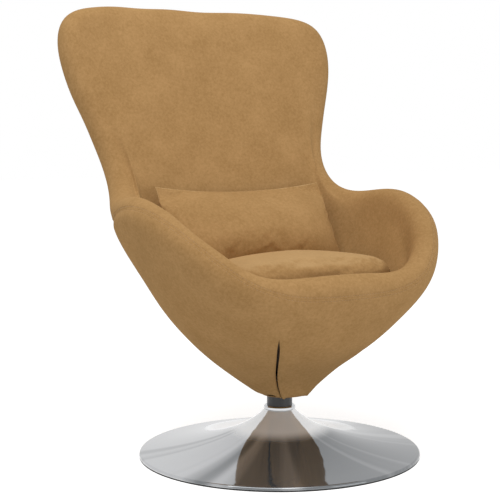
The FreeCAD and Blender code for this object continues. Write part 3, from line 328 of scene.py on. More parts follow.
class ShellNet:
    """The net of the shell's skin: rows of poles from the hem over the rim to the floor."""

    def __init__(self):
        s = sizes("shell")
        self.s = s
        angles = []
        points = []
        zones = (
            (ARM_STATION_SHARES, s.arm_half_width, s.lip_height, s.arm_height),
            (WAIST_STATION_SHARES, s.waist_half_width, s.arm_height, s.top_height),
            (WING_STATION_SHARES, s.wing_half_width, s.arm_height, s.top_height))
        for shares, half_width, low, high in zones:
            for degrees, side_share, depth_share, rise_share in shares:
                reach = s.front_reach if depth_share < 0 else s.back_reach
                angles.append(math.radians(degrees))
                points.append(
                    (side_share * half_width, depth_share * reach, low + rise_share * (high - low)))
        self.angles = whole_ring(np.array(angles), False)
        self.rim = whole_ring(np.array(points), True)
        self.count = len(self.rim)
        self.back = smoothstep((180 - np.abs(np.degrees(self.angles) - 180) - BACK_START) / BACK_BLEND)
        self.frames()

    def back_face(self, side, height):
        """y of the back's face: a slope over the height, less a parabola across the width."""
        s = self.s
        slope = s.back_slope_run / (s.top_height - s.floor_height)
        dish = s.back_dish * (side / s.wing_half_width) ** 2
        return s.floor_back + (height - s.floor_height) * slope - dish

    def frames(self):
        """At each station the direction down the wall and the direction out of it.

        Down is from the rim to its aim on the arms and to the spine behind it on the back, square to
        the rim's own run. Out is square to both.
        """
        s = self.s
        rim = self.rim
        along = unit(np.roll(rim, -1, 0) - np.roll(rim, 1, 0))
        aim = rim * (WALL_LEAN_SHARE, WALL_LEAN_SHARE, 0) + (0, 0, s.wall_aim_height)
        side_share = np.minimum(np.abs(rim[:, 0]) / s.waist_half_width, 1)
        spine_height = rim[:, 2] - SPINE_DROP_SHARE * np.abs(rim[:, 0])
        spine_height = spine_height - (rim[:, 2] - s.bowl_back_height) * (1 - side_share) / 2
        spine = np.stack(
            [0 * spine_height, self.back_face(0, spine_height) + s.rim_radius, spine_height], -1)
        back = self.back[:, None]
        down = unit(aim - rim) * (1 - back) + unit(spine - rim) * back
        self.down = unit(down - along * (down * along).sum(-1, keepdims=True))
        self.out = -unit(np.cross(along, self.down))

    def oval(self, half_width, front, back, heights, centre=0.0, box_share=1.0):
        """x = a sin^s, y = c - d cos^s, z = side + (end - side) cos^2 over the plan angle."""
        front_height, side_height, back_height = heights
        ahead = np.cos(self.angles)
        depth = np.where(ahead > 0, front, back)
        end = np.where(ahead > 0, front_height, back_height)
        return np.stack([
            half_width * squared(np.sin(self.angles), box_share),
            centre - depth * squared(ahead, box_share),
            side_height + (end - side_height) * ahead ** 2], -1)

    def rows(self, inset=0.0):
        """Every row of the net, moved in by the inset.

        The rows over the rim are rim + share r (cos(turn) out - sin(turn) down) at five turns of a
        half circle. Hem, belly, bowl, seat wall and floor are ovals. The rows between them lie at
        shares of the way, and behind the sitter on the back's face.
        """
        s = self.s
        rim, down, out = self.rim, self.down, self.out
        radius = s.rim_radius - inset
        hem = self.oval(*[s.hem_radius - inset] * 3, [s.hem_height] * 3, -s.hem_forward)
        belly = self.oval(s.belly_half_width - inset, s.belly_front - inset, s.belly_back - inset,
                          [s.belly_height] * 3)
        bowl = self.oval(s.bowl_half_width - inset, s.bowl_front - inset, s.bowl_back - inset,
                         (s.bowl_front_height, s.bowl_side_height, s.bowl_back_height))
        wall = rim + radius * out + OUTER_WALL_SHARE * s.rim_radius * down
        shoulder = bowl + SHOULDER_SHARE * (wall - bowl)
        turns = np.radians([0, 45, 90, 135, 180])
        over = [
            rim + ROUND_SHARE * radius * (math.cos(turn) * out - math.sin(turn) * down) for turn in turns]
        inner = rim - radius * out + INNER_WALL_SHARE * s.rim_radius * down
        plan = np.array([s.floor_half_width, s.floor_front, s.floor_back])
        rises = (s.seat_wall_front_rise, s.seat_wall_side_rise, s.seat_wall_back_rise)
        seat_wall = self.oval(*(SEAT_WALL_SHARE * plan + inset), [s.floor_height + rise for rise in rises],
                              box_share=FLOOR_BOX_SHARE)
        level = [s.floor_height - inset] * 3
        floor_edge = self.oval(*(plan + inset), level, box_share=FLOOR_BOX_SHARE)
        floor_ring = self.oval(*(FLOOR_RING_SHARE * plan), level, box_share=FLOOR_BOX_SHARE)
        half = (inner + seat_wall) / 2
        half[:, 0] += (seat_wall[:, 0] * BACK_FAN_SHARE - half[:, 0]) * self.back
        half[:, 1] += (self.back_face(half[:, 0], half[:, 2]) + inset - half[:, 1]) * self.back
        return np.array([hem, belly, bowl, shoulder, wall] + over + [
            inner, half, seat_wall, floor_edge, floor_ring])


def clamped_weights(values, count):
    """Weights of a clamped uniform cubic: one row for each value, one column for each pole.

    Each degree is built from the one below: (v - k) / run up times a pole's own weight, plus
    (k' - v) / run down times the next pole's.
    """
    knots = np.clip(np.arange(-3, count + 1), 0, count - 3).astype(float)
    values = np.clip(values, 0, count - 3 - STEP_SHORT)[:, None]
    weights = ((knots[:-1] <= values) & (values < knots[1:])).astype(float)
    for degree in (1, 2, 3):
        rising = knots[degree:-1] - knots[:-degree - 1]
        falling = knots[degree + 1:] - knots[1:-degree]
        rising_part = np.divide(values - knots[:-degree - 1], rising, where=rising > 0,
                                out=np.zeros((len(values), len(rising))))
        falling_part = np.divide(knots[degree + 1:] - values, falling, where=falling > 0,
                                 out=np.zeros((len(values), len(falling))))
        weights = rising_part * weights[:, :-1] + falling_part * weights[:, 1:]
    return weights


def ring_weights(values, count):
    """Weights of a periodic uniform cubic, with a last axis for the poles of the ring.

    With t the place between two stations they are (1 - t)^3, 3 t^3 - 6 t^2 + 4,
    -3 t^3 + 3 t^2 + 3 t + 1 and t^3, over six.
    """
    base = np.floor(values).astype(int)
    t = values - base
    parts = [(1 - t) ** 3, 3 * t ** 3 - 6 * t ** 2 + 4, -3 * t ** 3 + 3 * t ** 2 + 3 * t + 1, t ** 3]
    weights = np.zeros(values.shape + (count,))
    flat = weights.reshape(-1, count)
    rows = np.arange(flat.shape[0])
    for step, part in enumerate(parts):
        flat[rows, (base.ravel() + step - 1) % count] += part.ravel() / 6
    return weights


def surface(net, across, along):
    """Points of a net at stations and rows, which are arrays of one shape or broadcast to it.

    A point is the sum of all poles, each times its weight across and its weight along.
    """
    across, along = np.broadcast_arrays(across, along)
    ribs = np.einsum("nc,rck->nrk", ring_weights(across.ravel(), net.shape[1]), net, optimize=True)
    points = np.einsum("nr,nrk->nk", clamped_weights(along.ravel(), len(net)), ribs)
    return points.reshape(across.shape + (3,))


def off_front(across, count):
    """How many stations lie between a place and the middle of the front, either way round."""
    return np.abs((across + count / 2) % count - count / 2)


def seam_row(across, count):
    """Row of the seam: from the front up to the arms, then down to the back, in smooth steps."""
    aside = off_front(across, count)
    up = smoothstep(aside / ARM_SEAM_STATION)
    down = smoothstep((aside - ARM_SEAM_STATION) / (SEAM_END_STATION - ARM_SEAM_STATION))
    return FRONT_SEAM_ROW + (ARM_SEAM_ROW - FRONT_SEAM_ROW) * up - (ARM_SEAM_ROW - SEAM) * down


def below_seam(across, along, count):
    """Rows of the outer covers: their upper part stretched so that its end lies on the seam."""
    climb = smoothstep((along - WARP_START_ROW) / (SEAM - WARP_START_ROW))
    return along + (seam_row(across, count) - SEAM) * climb


def above_seam(across, along, count):
    """Rows of the lining: its first part stretched so that its start lies on the seam."""
    climb = 1 - smoothstep((along - SEAM) / (WARP_END_ROW - SEAM))
    return along + (seam_row(across, count) - SEAM) * climb


def grid_normals(points, closed):
    """Normals of a grid of points, across x along, with the columns closed into a ring or not."""
    if closed:
        across = np.roll(points, -1, 1) - np.roll(points, 1, 1)
    else:
        across = np.gradient(points, axis=1)
    along = np.gradient(points, axis=0)
    normals = np.cross(across, along)
    size = np.linalg.norm(normals, axis=-1, keepdims=True)
    return normals / np.maximum(size, NO_LENGTH)


def ripple(points, wave, seed, count=7):
    """A calm, seeded sum of sines over space, about -1 to 1, with roughly the wave length given.

    It is the sum of sin(k . p + phase) over a few headings k, over the root of their number.
    """
    rng = np.random.default_rng(seed)
    total = 0
    for _ in range(count):
        heading = unit(rng.normal(size=3)) * rng.uniform(0.7, 1.5) * 2 * math.pi / wave
        total = total + np.sin(points @ heading + rng.uniform(0, 2 * math.pi))
    return total / math.sqrt(count)


def new_mesh(name, points, faces):
    """A smooth-shaded mesh object of points and faces."""
    mesh = bpy.data.meshes.new(name)
    mesh.from_pydata(points.reshape(-1, 3).tolist(), [], faces)
    mesh.validate()
    mesh.shade_smooth()
    made = bpy.data.objects.new(name, mesh)
    bpy.context.collection.objects.link(made)
    return made


def grid_index(rows, columns, closed=False):
    """Numbers of a grid's points, with the first column again at the end of a closed grid."""
    index = np.arange(rows * columns).reshape(rows, columns)
    return np.concatenate([index, index[:, :1]], 1) if closed else index


def sheet_faces(index, kept=slice(None)):
    """Faces of a sheet over an index grid, and the directed edges of its open borders."""
    quads = np.stack([index[:-1, :-1], index[:-1, 1:], index[1:, 1:], index[1:, :-1]], -1)[kept]
    quads = quads.reshape(-1, 4)
    starts = quads.ravel()
    ends = np.roll(quads, -1, 1).ravel()
    real = starts != ends
    starts, ends = starts[real], ends[real]
    big = index.max() + 1
    lone = ~np.isin(starts * big + ends, ends * big + starts)
    return quads, starts[lone], ends[lone]


def whole_faces(quads):
    """Faces without the corners that fall together; what has fewer than three left is dropped."""
    faces = [list(dict.fromkeys(quad)) for quad in quads.tolist()]
    return [corners for corners in faces if len(corners) > 2]


def thick_sheet(name, outer, inner, index, kept=slice(None)):
    """An outer and an inner skin joined along every open border, as one closed mesh."""
    quads, starts, ends = sheet_faces(index, kept)
    offset = outer.shape[0] * outer.shape[1]
    border = np.stack([ends, starts, starts + offset, ends + offset], -1)
    faces = whole_faces(np.concatenate([quads, quads[:, ::-1] + offset, border]))
    return new_mesh(name, np.concatenate([outer.reshape(-1, 3), inner.reshape(-1, 3)]), faces)


def graded(count, near_start, near_end):
    """Shares from 0 to 1 that crowd towards the ends; 0 leaves an end even, 1 crowds it most.

    In the first half it is t - c (1 - t) sin(2 pi t) / 2 pi, and in the second the same from the end.
    """
    t = np.linspace(0, 1, count)
    return t - near_start * np.sin(2 * math.pi * np.clip(t, 0, 0.5)) / (2 * math.pi) * (1 - t) \
        + near_end * np.sin(2 * math.pi * np.clip(1 - t, 0, 0.5)) / (2 * math.pi) * t


def seam_groove(distance):
    """-depth exp(-(d / width)^2), at the seam and again under its stitches."""
    s = sizes("sewing")
    at_stitches = distance - s.stitch_offset
    return -s.seam_depth * (
        np.exp(-(distance / s.seam_width) ** 2) + np.exp(-(at_stitches / s.seam_width) ** 2))


def row_at_height(shell, station, height):
    """The row at which a station of the bowl reaches a height."""
    samples = 400
    along = np.linspace(0, SEAM, samples)
    heights = surface(shell.rows(), station, along)[:, 2]
    return float(np.interp(height, heights, along))


def outer_rows(hem_rows, wall_rows, seam_rows):
    """Rows of an outer cover from the hem to the seam, finer beside both."""
    return np.unique(np.concatenate([
        np.linspace(0, HEM_BAND, hem_rows), np.linspace(HEM_BAND, SEAM - SEAM_BAND, wall_rows),
        np.linspace(SEAM - SEAM_BAND, SEAM, seam_rows)]))


def outer_offset(points, along, stations_to_end, seed):
    """How far an outer cover stands off its net: the grooves of its seams and a faint unevenness.

    The unevenness is height times ripple, and fades out in a smooth step before the seam.
    """
    speed = np.linalg.norm(np.gradient(points, along, axis=0), axis=-1)
    offset = seam_groove((SEAM - along)[:, None] * speed)
    offset += seam_groove(stations_to_end * STATION_WIDTH)
    fade = smoothstep((SEAM - along) / RIPPLE_FADE_ROWS)[:, None]
    return offset + RIPPLE_HEIGHT * ripple(points, COVER_RIPPLE, seed) * fade


def dart_columns(along, dart_row, step):
    """Stations of three panels parted by two darts, and metres from the nearest lip.

    The darts lie at DART + flare exp(-row / reach) on both sides. Below its tip each one opens in a
    smooth step to its gap and goes on widening to the hem.
    """
    s = sizes("sewing")
    down_dart = np.clip(1 - along / dart_row, 0, 1)
    gap = s.dart_gap / step * smoothstep(down_dart / DART_OPEN_SHARE) * (1 + DART_WIDER_SHARE * down_dart)
    right = DART + DART_FLARE * np.exp(-along / DART_FLARE_ROWS)
    ends = np.full_like(along, BACK_SEAM)
    side = graded(count=112, near_start=0.85, near_end=0.95)
    middle = graded(count=66, near_start=0.9, near_end=0.9)
    panels = (
        (-ends, -right - gap / 2, side), (-right + gap / 2, right - gap / 2, middle),
        (right + gap / 2, ends, 1 - side[::-1]))
    stations = []
    to_lip = []
    for number, (start, end, spread) in enumerate(panels):
        run = (end - start)[:, None]
        stations.append(start[:, None] + run * spread)
        from_start = run * spread if number > 0 else np.inf
        from_end = run * (1 - spread) if number < 2 else np.inf
        to_lip.append(np.minimum(from_start, from_end) * step)
    between = np.repeat([0.0, 1.0, 0.0], [len(side), len(middle), len(side)])
    return np.concatenate(stations, 1), np.concatenate(to_lip, 1), between, down_dart[:, None]


def front_cover(shell):
    """The outer cover round the front and the arms, with its two open darts.

    It is the net's skin moved along its normals by the seams' grooves and the unevenness, out by
    exp(-(a / w)^2 - (b / w)^2) on the arms and exp(-(d / w)^2) between the darts, and in by
    exp(-(d / w)^2) at their lips and at the hem, which also waves up and down.
    """
    s = sizes("sewing")
    net = shell.rows()
    dart_row = row_at_height(shell, DART, s.dart_height)
    along = outer_rows(hem_rows=12, wall_rows=74, seam_rows=18)
    at_dart = surface(net, np.array([DART - 0.5, DART + 0.5]), dart_row / 2)
    step = np.linalg.norm(at_dart[1] - at_dart[0])
    across, to_lip, between, down_dart = dart_columns(along, dart_row, step)
    points = surface(net, across, below_seam(across, along[:, None], shell.count))
    normals = grid_normals(points, False)
    offset = outer_offset(points, along, BACK_SEAM - np.abs(across), seed=3)
    curl = np.exp(-(to_lip / DART_CURL_WIDTH) ** 2) * smoothstep(down_dart / DART_CURL_SHARE)
    proud = np.exp(-(to_lip / DART_PROUD_WIDTH) ** 2) * smoothstep(down_dart / DART_PROUD_SHARE)
    offset += s.dart_proud * proud * between - s.dart_curl * curl
    swell = np.exp(
        -((np.abs(across) - ARM_SWELL_STATION) / ARM_SWELL_SPAN) ** 2
        - ((along[:, None] - ARM_SWELL_ROW) / ARM_SWELL_SPAN) ** 2)
    offset += s.arm_fullness * swell * smoothstep((SEAM - along[:, None]) / ARM_SWELL_END_ROWS)
    hem = np.exp(-(along / HEM_ROWS) ** 2)[:, None]
    offset -= HEM_TURN_IN * hem
    outer = points + normals * offset[..., None]
    outer[..., 2] += hem * HEM_WAVE_HEIGHT * ripple(points, HEM_WAVE, seed=11)
    inner = outer - normals * shell.s.cover_thickness
    index = grid_index(*across.shape)
    kept = np.ones((across.shape[0] - 1, across.shape[1] - 1), bool)
    above = along >= dart_row - STEP_SHORT
    for lip in np.flatnonzero(np.diff(between)):
        index[above, lip + 1] = index[above, lip]
        kept[:, lip] = False
    return thick_sheet("front_velvet", outer, inner, index, kept)


def back_cover(shell):
    """The outer cover of the back: the net's skin moved along its normals by grooves and unevenness."""
    columns = 180
    along = outer_rows(hem_rows=8, wall_rows=60, seam_rows=16)
    across = np.linspace(BACK_SEAM, shell.count - BACK_SEAM, columns)
    points = surface(shell.rows(), across, below_seam(across, along[:, None], shell.count))
    normals = grid_normals(points, False)
    offset = outer_offset(points, along, off_front(across, shell.count)[None] - BACK_SEAM, seed=5)
    outer = points + normals * offset[..., None]
    inner = outer - normals * shell.s.cover_thickness
    return thick_sheet("back_velvet", outer, inner, grid_index(*outer.shape[:2]))


def bottom_cover(shell):
    """The round cloth under the hem: rings hole + t (edge - hole), from the column out to the hem."""
    s = shell.s
    columns, rings = 120, 9
    turn = 2 * math.pi * np.arange(columns) / columns
    circle = np.stack([np.cos(turn), np.sin(turn)], -1)
    hole = circle * s.column_hole
    edge = circle * s.bottom_radius - (0, s.hem_forward)
    plan = hole + (edge - hole) * np.linspace(0, 1, rings)[:, None, None]
    low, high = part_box("bottom_cover")
    lower = np.concatenate([plan, np.full(plan.shape[:2] + (1,), low.z)], -1)
    upper = lower + (0, 0, high.z - low.z)
    return thick_sheet("bottom_velvet", lower, upper, grid_index(rings, columns, True))


def calmed(points, along, across, count):
    """Points of the lining with the fold between wings and back averaged out, pass by pass.

    Each pass moves a point by weight times the way to the middle of its two neighbours in the row.
    """
    inside = smoothstep((along - FOLD_START_ROW) / FOLD_START_ROWS) \
        * smoothstep((FOLD_END_ROW - along) / FOLD_END_ROWS)
    weight = inside[:, None] * smoothstep((off_front(across, count) - FOLD_STATION) / FOLD_STATIONS)
    for _ in range(FOLD_PASSES):
        around = (np.roll(points, 1, 1) + np.roll(points, -1, 1)) / 2
        points = points + (around - points) * weight[..., None]
    return points


def lining(shell):
    """The lining: from the seam over the rolled edge, down the inside and across the floor.

    It is the net's skin moved along its normals by the seam's groove, the unevenness and, on the
    roll in front, a swell exp(-(a / w)^4 - (b / w)^2). Its last ring is drawn together to a point.
    """
    columns = 352
    seam_rows, wall_rows, floor_rows = 16, 60, 44
    wall_end = 9
    along = np.unique(np.concatenate([
        np.linspace(SEAM, SEAM + SEAM_BAND, seam_rows), np.linspace(SEAM + SEAM_BAND, wall_end, wall_rows),
        np.linspace(wall_end, NET_END, floor_rows)]))
    across = np.arange(columns) * shell.count / columns
    points = surface(shell.rows(), across, above_seam(across, along[:, None], shell.count))
    points = calmed(points, along, across, shell.count)
    normals = grid_normals(points, True)
    speed = np.linalg.norm(np.gradient(points, along, axis=0), axis=-1)
    offset = seam_groove((along - SEAM)[:, None] * speed)
    fade = smoothstep((along - SEAM) / RIPPLE_FADE_ROWS)[:, None]
    offset += RIPPLE_HEIGHT * ripple(points, LINING_RIPPLE, seed=7) * fade
    lip = np.exp(
        -(off_front(across, shell.count) / LIP_SWELL_STATIONS) ** 4
        - ((along[:, None] - LIP_SWELL_ROW) / LIP_SWELL_ROWS) ** 2)
    offset += sizes("sewing").lip_fullness * lip
    outer = points + normals * offset[..., None]
    inner = outer - normals * shell.s.cover_thickness
    shrink = np.array([0.66, 0.33, 0.0])[:, None, None]
    skins = []
    for skin in (outer, inner):
        middle = skin[-1].mean(0)
        skins.append(np.concatenate([skin, middle + (skin[-1] - middle) * shrink]))
    index = grid_index(len(skins[0]), columns, True)
    index[-1] = index[-1, 0]
    return thick_sheet("lining_velvet", *skins, index)


def seam_line(shell, offset):
    """Points, directions and normals along the seam, moved off it by so many metres of skin.

    The seam's length is added up over fine steps and cut into equal pitches.
    """
    s = sizes("sewing")
    net = shell.rows()
    samples = 4001
    fine = np.linspace(0, shell.count, samples)
    on_seam = seam_row(fine, shell.count)
    line = surface(net, fine, on_seam)
    speed = np.linalg.norm(surface(net, fine, on_seam + ROW_STEP) - line, axis=-1) / ROW_STEP
    run = np.concatenate([[0], np.cumsum(np.linalg.norm(np.diff(line, axis=0), axis=-1))])
    count = int(run[-1] / s.stitch_pitch)
    stations = np.interp(np.arange(count) * run[-1] / count, run, fine)
    rows = seam_row(stations, shell.count) + offset / np.interp(stations, fine, speed)
    places = surface(net, stations, rows)
    heading = unit(np.roll(places, -1, 0) - np.roll(places, 1, 0))
    upward = surface(net, stations, rows + ROW_STEP) - places
    normal = unit(np.cross(heading, upward))
    return places, heading, normal


def stitches(shell):
    """Two rows of stitches beside the seam: short threads that dive into the velvet at both ends.

    Along a thread t runs from -1 to 1. Its radius is r sqrt(1 - t^4), and its middle stands
    r (0.9 - 1.6 t^2) above the groove.
    """
    s = sizes("sewing")
    rings, around = 7, 6
    thin_end, rise, dive = 0.02, 0.9, 1.6
    t = np.linspace(-1, 1, rings)
    turn = np.arange(around) * 2 * math.pi / around
    radius = s.stitch_radius * np.sqrt(np.maximum(1 - t ** 4, thin_end))
    arch = s.stitch_radius * (rise - dive * t ** 2) - s.seam_depth
    all_points = []
    for side in (-1, 1):
        places, heading, normal = seam_line(shell, side * s.stitch_offset)
        beside = np.cross(normal, heading)
        centre = places[:, None] + heading[:, None] * (t * s.stitch_length / 2)[None, :, None] \
            + normal[:, None] * arch[None, :, None]
        ring = beside[:, None, None] * np.cos(turn)[None, None, :, None] \
            + normal[:, None, None] * np.sin(turn)[None, None, :, None]
        all_points.append((centre[:, :, None] + ring * radius[None, :, None, None]).reshape(-1, 3))
    points = np.concatenate(all_points)
    one = np.arange(rings * around).reshape(rings, around)
    quads = np.stack([one[:-1], np.roll(one[:-1], -1, 1), np.roll(one[1:], -1, 1), one[1:]], -1)
    starts = np.arange(len(points) // one.size) * one.size
    faces = (quads.reshape(1, -1, 4) + starts[:, None, None]).reshape(-1, 4).tolist()
    faces += (one[0][::-1][None] + starts[:, None]).tolist()
    faces += (one[-1][None] + starts[:, None]).tolist()
    return new_mesh("seam_stitches", points, faces)


def closed_bag(name, net, columns, along):
    """A closed skin over a ring net: each end ring is drawn together to the mean of its points."""
    across = np.arange(columns) * net.shape[1] / columns
    points = surface(net, across, along[:, None])
    poles = [np.broadcast_to(points[end].mean(0), points[:1].shape) for end in (0, -1)]
    points = np.concatenate([poles[0], points, poles[1]])
    index = grid_index(len(points), columns, True)
    for end in (0, -1):
        index[end] = index[end, 0]
    return new_mesh(name, points, whole_faces(sheet_faces(index)[0]))


HUB_SHARE = 0.12
CUSHION_ROW_SHARES = (
    (HUB_SHARE, 0.0), (0.5, 0.0), (0.84, 0.0), (0.96, 0.1), (1.0, 0.32), (1.005, 0.62), (1.0, 0.84),
    (0.93, 0.98), (0.5, 1.0), (HUB_SHARE, 1.0))
CUSHION_BOX_SHARE = 0.62
CUSHION_TAPER_SHARE = 0.14
CUSHION_STATIONS = 22
PILLOW_BULGE_SHARE = 0.55
PILLOW_SAG_SHARE = 0.4
EDGE_CROWDING_SHARE = 0.8
# How deep a point of the pillow may have sunk in and still be brought out, in metres
SINK_REACH = 0.12
# Over how many frames a bag of cloth is blown up
CLOTH_FRAMES = 20
# How far the crown of the cushion is painted lighter, as painted light from above, and from which upward
# normal on
PAINTED_LIGHT_SHARE = 0.3
PAINTED_LIGHT_START = 0.7
PAINTED_LIGHT_BLEND = 0.25


def cushion_net():
    """Rings of a superellipse, wider in front, that swell from the foot to the crown.

    A ring is x = r w sin^p and y = hub - r d cos^p, with r its reach. It lies at its share of the
    height crown + (edge - crown) u^2, where u runs from 0 at the hub to 1 at the edge.
    """
    s = sizes("cushion")
    shell = sizes("shell")
    angle = 2 * math.pi * np.arange(CUSHION_STATIONS) / CUSHION_STATIONS
    ahead = squared(np.cos(angle), CUSHION_BOX_SHARE)
    aside = squared(np.sin(angle), CUSHION_BOX_SHARE)
    hub = -s.crown_forward
    depth = np.where(ahead > 0, s.front + hub, s.back - hub)
    end = np.where(ahead > 0, s.front_height, s.back_height)
    edge = s.side_height + (end - s.side_height) * ahead ** 2
    half_width = s.half_width * (1 - CUSHION_TAPER_SHARE * np.maximum(-ahead, 0))
    net = []
    for reach, rise in CUSHION_ROW_SHARES:
        off_hub = (reach - HUB_SHARE) / (1 - HUB_SHARE)
        height = s.height + (edge - s.height) * off_hub ** 2
        net.append(np.stack([
            half_width * aside * reach, hub - depth * ahead * reach,
            shell.floor_height + s.rest + rise * height], -1))
    return np.array(net)


def crowded(count):
    """Numbers from -1 to 1 that crowd towards both ends: sin(c t) / sin(c)."""
    reach = EDGE_CROWDING_SHARE * math.pi / 2
    return np.sin(np.linspace(-reach, reach, count)) / math.sin(reach)


def pillow_skin():
    """Both faces of the pillow over a square grid (s, t) from -1 to 1, and the grid's faces.

    Across it is s times the half width, and up it is t (half height - dip (1 - s^2)). Each face
    bulges by T (1 - sag t) ((1 - s^2) (1 - t^2))^p, and the ends bow forwards by b s^2.
    """
    z = sizes("pillow")
    columns, rows = 97, 57
    s, t = np.meshgrid(crowded(columns), crowded(rows))
    upwards = np.array([0, math.sin(z.lean), math.cos(z.lean)])
    forwards = np.array([0, -math.cos(z.lean), math.sin(z.lean)])
    up = t * (z.half_height - z.dip * (1 - s ** 2))
    plane = np.stack([s * z.half_width, 0 * s, 0 * s], -1) + up[..., None] * upwards
    plane = plane + (0, z.centre_back, z.centre_height) + (z.bow * s ** 2)[..., None] * forwards
    bulge = z.half_thickness * ((1 - s ** 2) * (1 - t ** 2)) ** PILLOW_BULGE_SHARE \
        * (1 - PILLOW_SAG_SHARE * t)
    front = plane + bulge[..., None] * forwards
    back = plane - bulge[..., None] * forwards
    index = grid_index(*s.shape)
    behind = index + s.size
    for edge in ((0, slice(None)), (-1, slice(None)), (slice(None), 0), (slice(None), -1)):
        behind[edge] = index[edge]
    faces = np.concatenate([sheet_faces(index)[0], sheet_faces(behind)[0][:, ::-1]])
    return np.concatenate([front.reshape(-1, 3), back.reshape(-1, 3)]), faces.tolist(), index


def painted_light(piece, painted_light_amount):
    """Note on each vertex how far its nap is painted lighter as painted light, from 0 to 1."""
    noted = piece.data.attributes.new("painted_light", "FLOAT", "POINT")
    noted.data.foreach_set("value", painted_light_amount.astype(np.float32))


def held_off(points, piece, heading, gap):
    """Points kept a gap off a piece's skin that they would otherwise sink through on a heading."""
    mesh = piece.data
    tree = BVHTree.FromPolygons(
        [vertex.co for vertex in mesh.vertices], [face.vertices for face in mesh.polygons])
    heading = Vector(heading)
    for place in points:
        start = Vector(place) - heading * SINK_REACH
        distance = tree.ray_cast(start, heading, SINK_REACH + gap)[3]
        if distance is not None:
            place[:] = start + heading * (distance - gap)
    return points


def coordinates(mesh):
    """The places of a mesh's vertices as one array."""
    flat = np.empty(len(mesh.vertices) * 3, np.float32)
    mesh.vertices.foreach_get("co", flat)
    return flat.reshape(-1, 3).astype(float)


def puffed(piece, pressure, slack, cap, held=()):
    """Blow a piece up as cloth over some frames, with some slack, and cap how far it moves."""
    before = coordinates(piece.data)
    modifier = piece.modifiers.new("cloth", "CLOTH")
    cloth = modifier.settings
    cloth.quality = 6
    cloth.mass = 0.3
    cloth.tension_stiffness = 20
    cloth.compression_stiffness = 20
    cloth.shear_stiffness = 8
    cloth.bending_stiffness = 0.4
    cloth.use_pressure = True
    cloth.uniform_pressure_force = pressure
    cloth.shrink_min = -slack
    cloth.effector_weights.gravity = 0
    if len(held):
        group = piece.vertex_groups.new(name="held")
        group.add([int(number) for number in held], 1.0, "REPLACE")
        cloth.vertex_group_mass = "held"
    scene = bpy.context.scene
    for number in range(1, CLOTH_FRAMES + 1):
        scene.frame_set(number)
    depsgraph = bpy.context.evaluated_depsgraph_get()
    after = coordinates(piece.evaluated_get(depsgraph).data)
    piece.modifiers.remove(modifier)
    scene.frame_set(1)
    move = after - before
    far = np.linalg.norm(move, axis=-1, keepdims=True)
    settled = before + move * np.minimum(1, cap / np.maximum(far, NO_LENGTH))
    piece.data.vertices.foreach_set("co", settled.ravel())
    piece.data.update()


def remeshed(piece, voxel):
    """An even mesh of small squares over a closed piece."""
    modifier = piece.modifiers.new("even", "REMESH")
    modifier.mode = "VOXEL"
    modifier.voxel_size = voxel
    depsgraph = bpy.context.evaluated_depsgraph_get()
    mesh = bpy.data.meshes.new_from_object(piece.evaluated_get(depsgraph))
    piece.modifiers.remove(modifier)
    piece.data = mesh
    mesh.shade_smooth()


def rounded(piece):
    """One live subdivision, the same in the view and in the render."""
    modifier = piece.modifiers.new("rounded", "SUBSURF")
    modifier.levels = 1
    modifier.render_levels = 1


def shader(name):
    """A new material, its tree and its Principled shader."""
    material = bpy.data.materials.new(name)
    material.use_nodes = True
    return material, material.node_tree, material.node_tree.nodes["Principled BSDF"]


def fed(tree, node, inputs):
    """Feed a node's inputs, each with another node's output or a constant."""
    for name, value in inputs.items():
        if isinstance(value, bpy.types.NodeSocket):
            tree.links.new(value, node.inputs[name])
        else:
            node.inputs[name].default_value = value


def wired(tree, kind, output, inputs, **settings):
    """A new shader node with these settings and inputs: one of its outputs, or itself if it has none."""
    node = tree.nodes.new("ShaderNode" + kind)
    for name, value in settings.items():
        setattr(node, name, value)
    fed(tree, node, inputs)
    return node.outputs[output] if output else node


def ramp(tree, share, low, high, interpolation="LINEAR"):
    """A colour that runs between two stops, each a position and a colour."""
    node = tree.nodes.new("ShaderNodeValToRGB")
    node.color_ramp.interpolation = interpolation
    for element, (position, tone) in zip(node.color_ramp.elements, (low, high)):
        element.position = position
        element.color = (*tone, 1)
    fed(tree, node, {"Fac": share})
    return node.outputs["Color"]


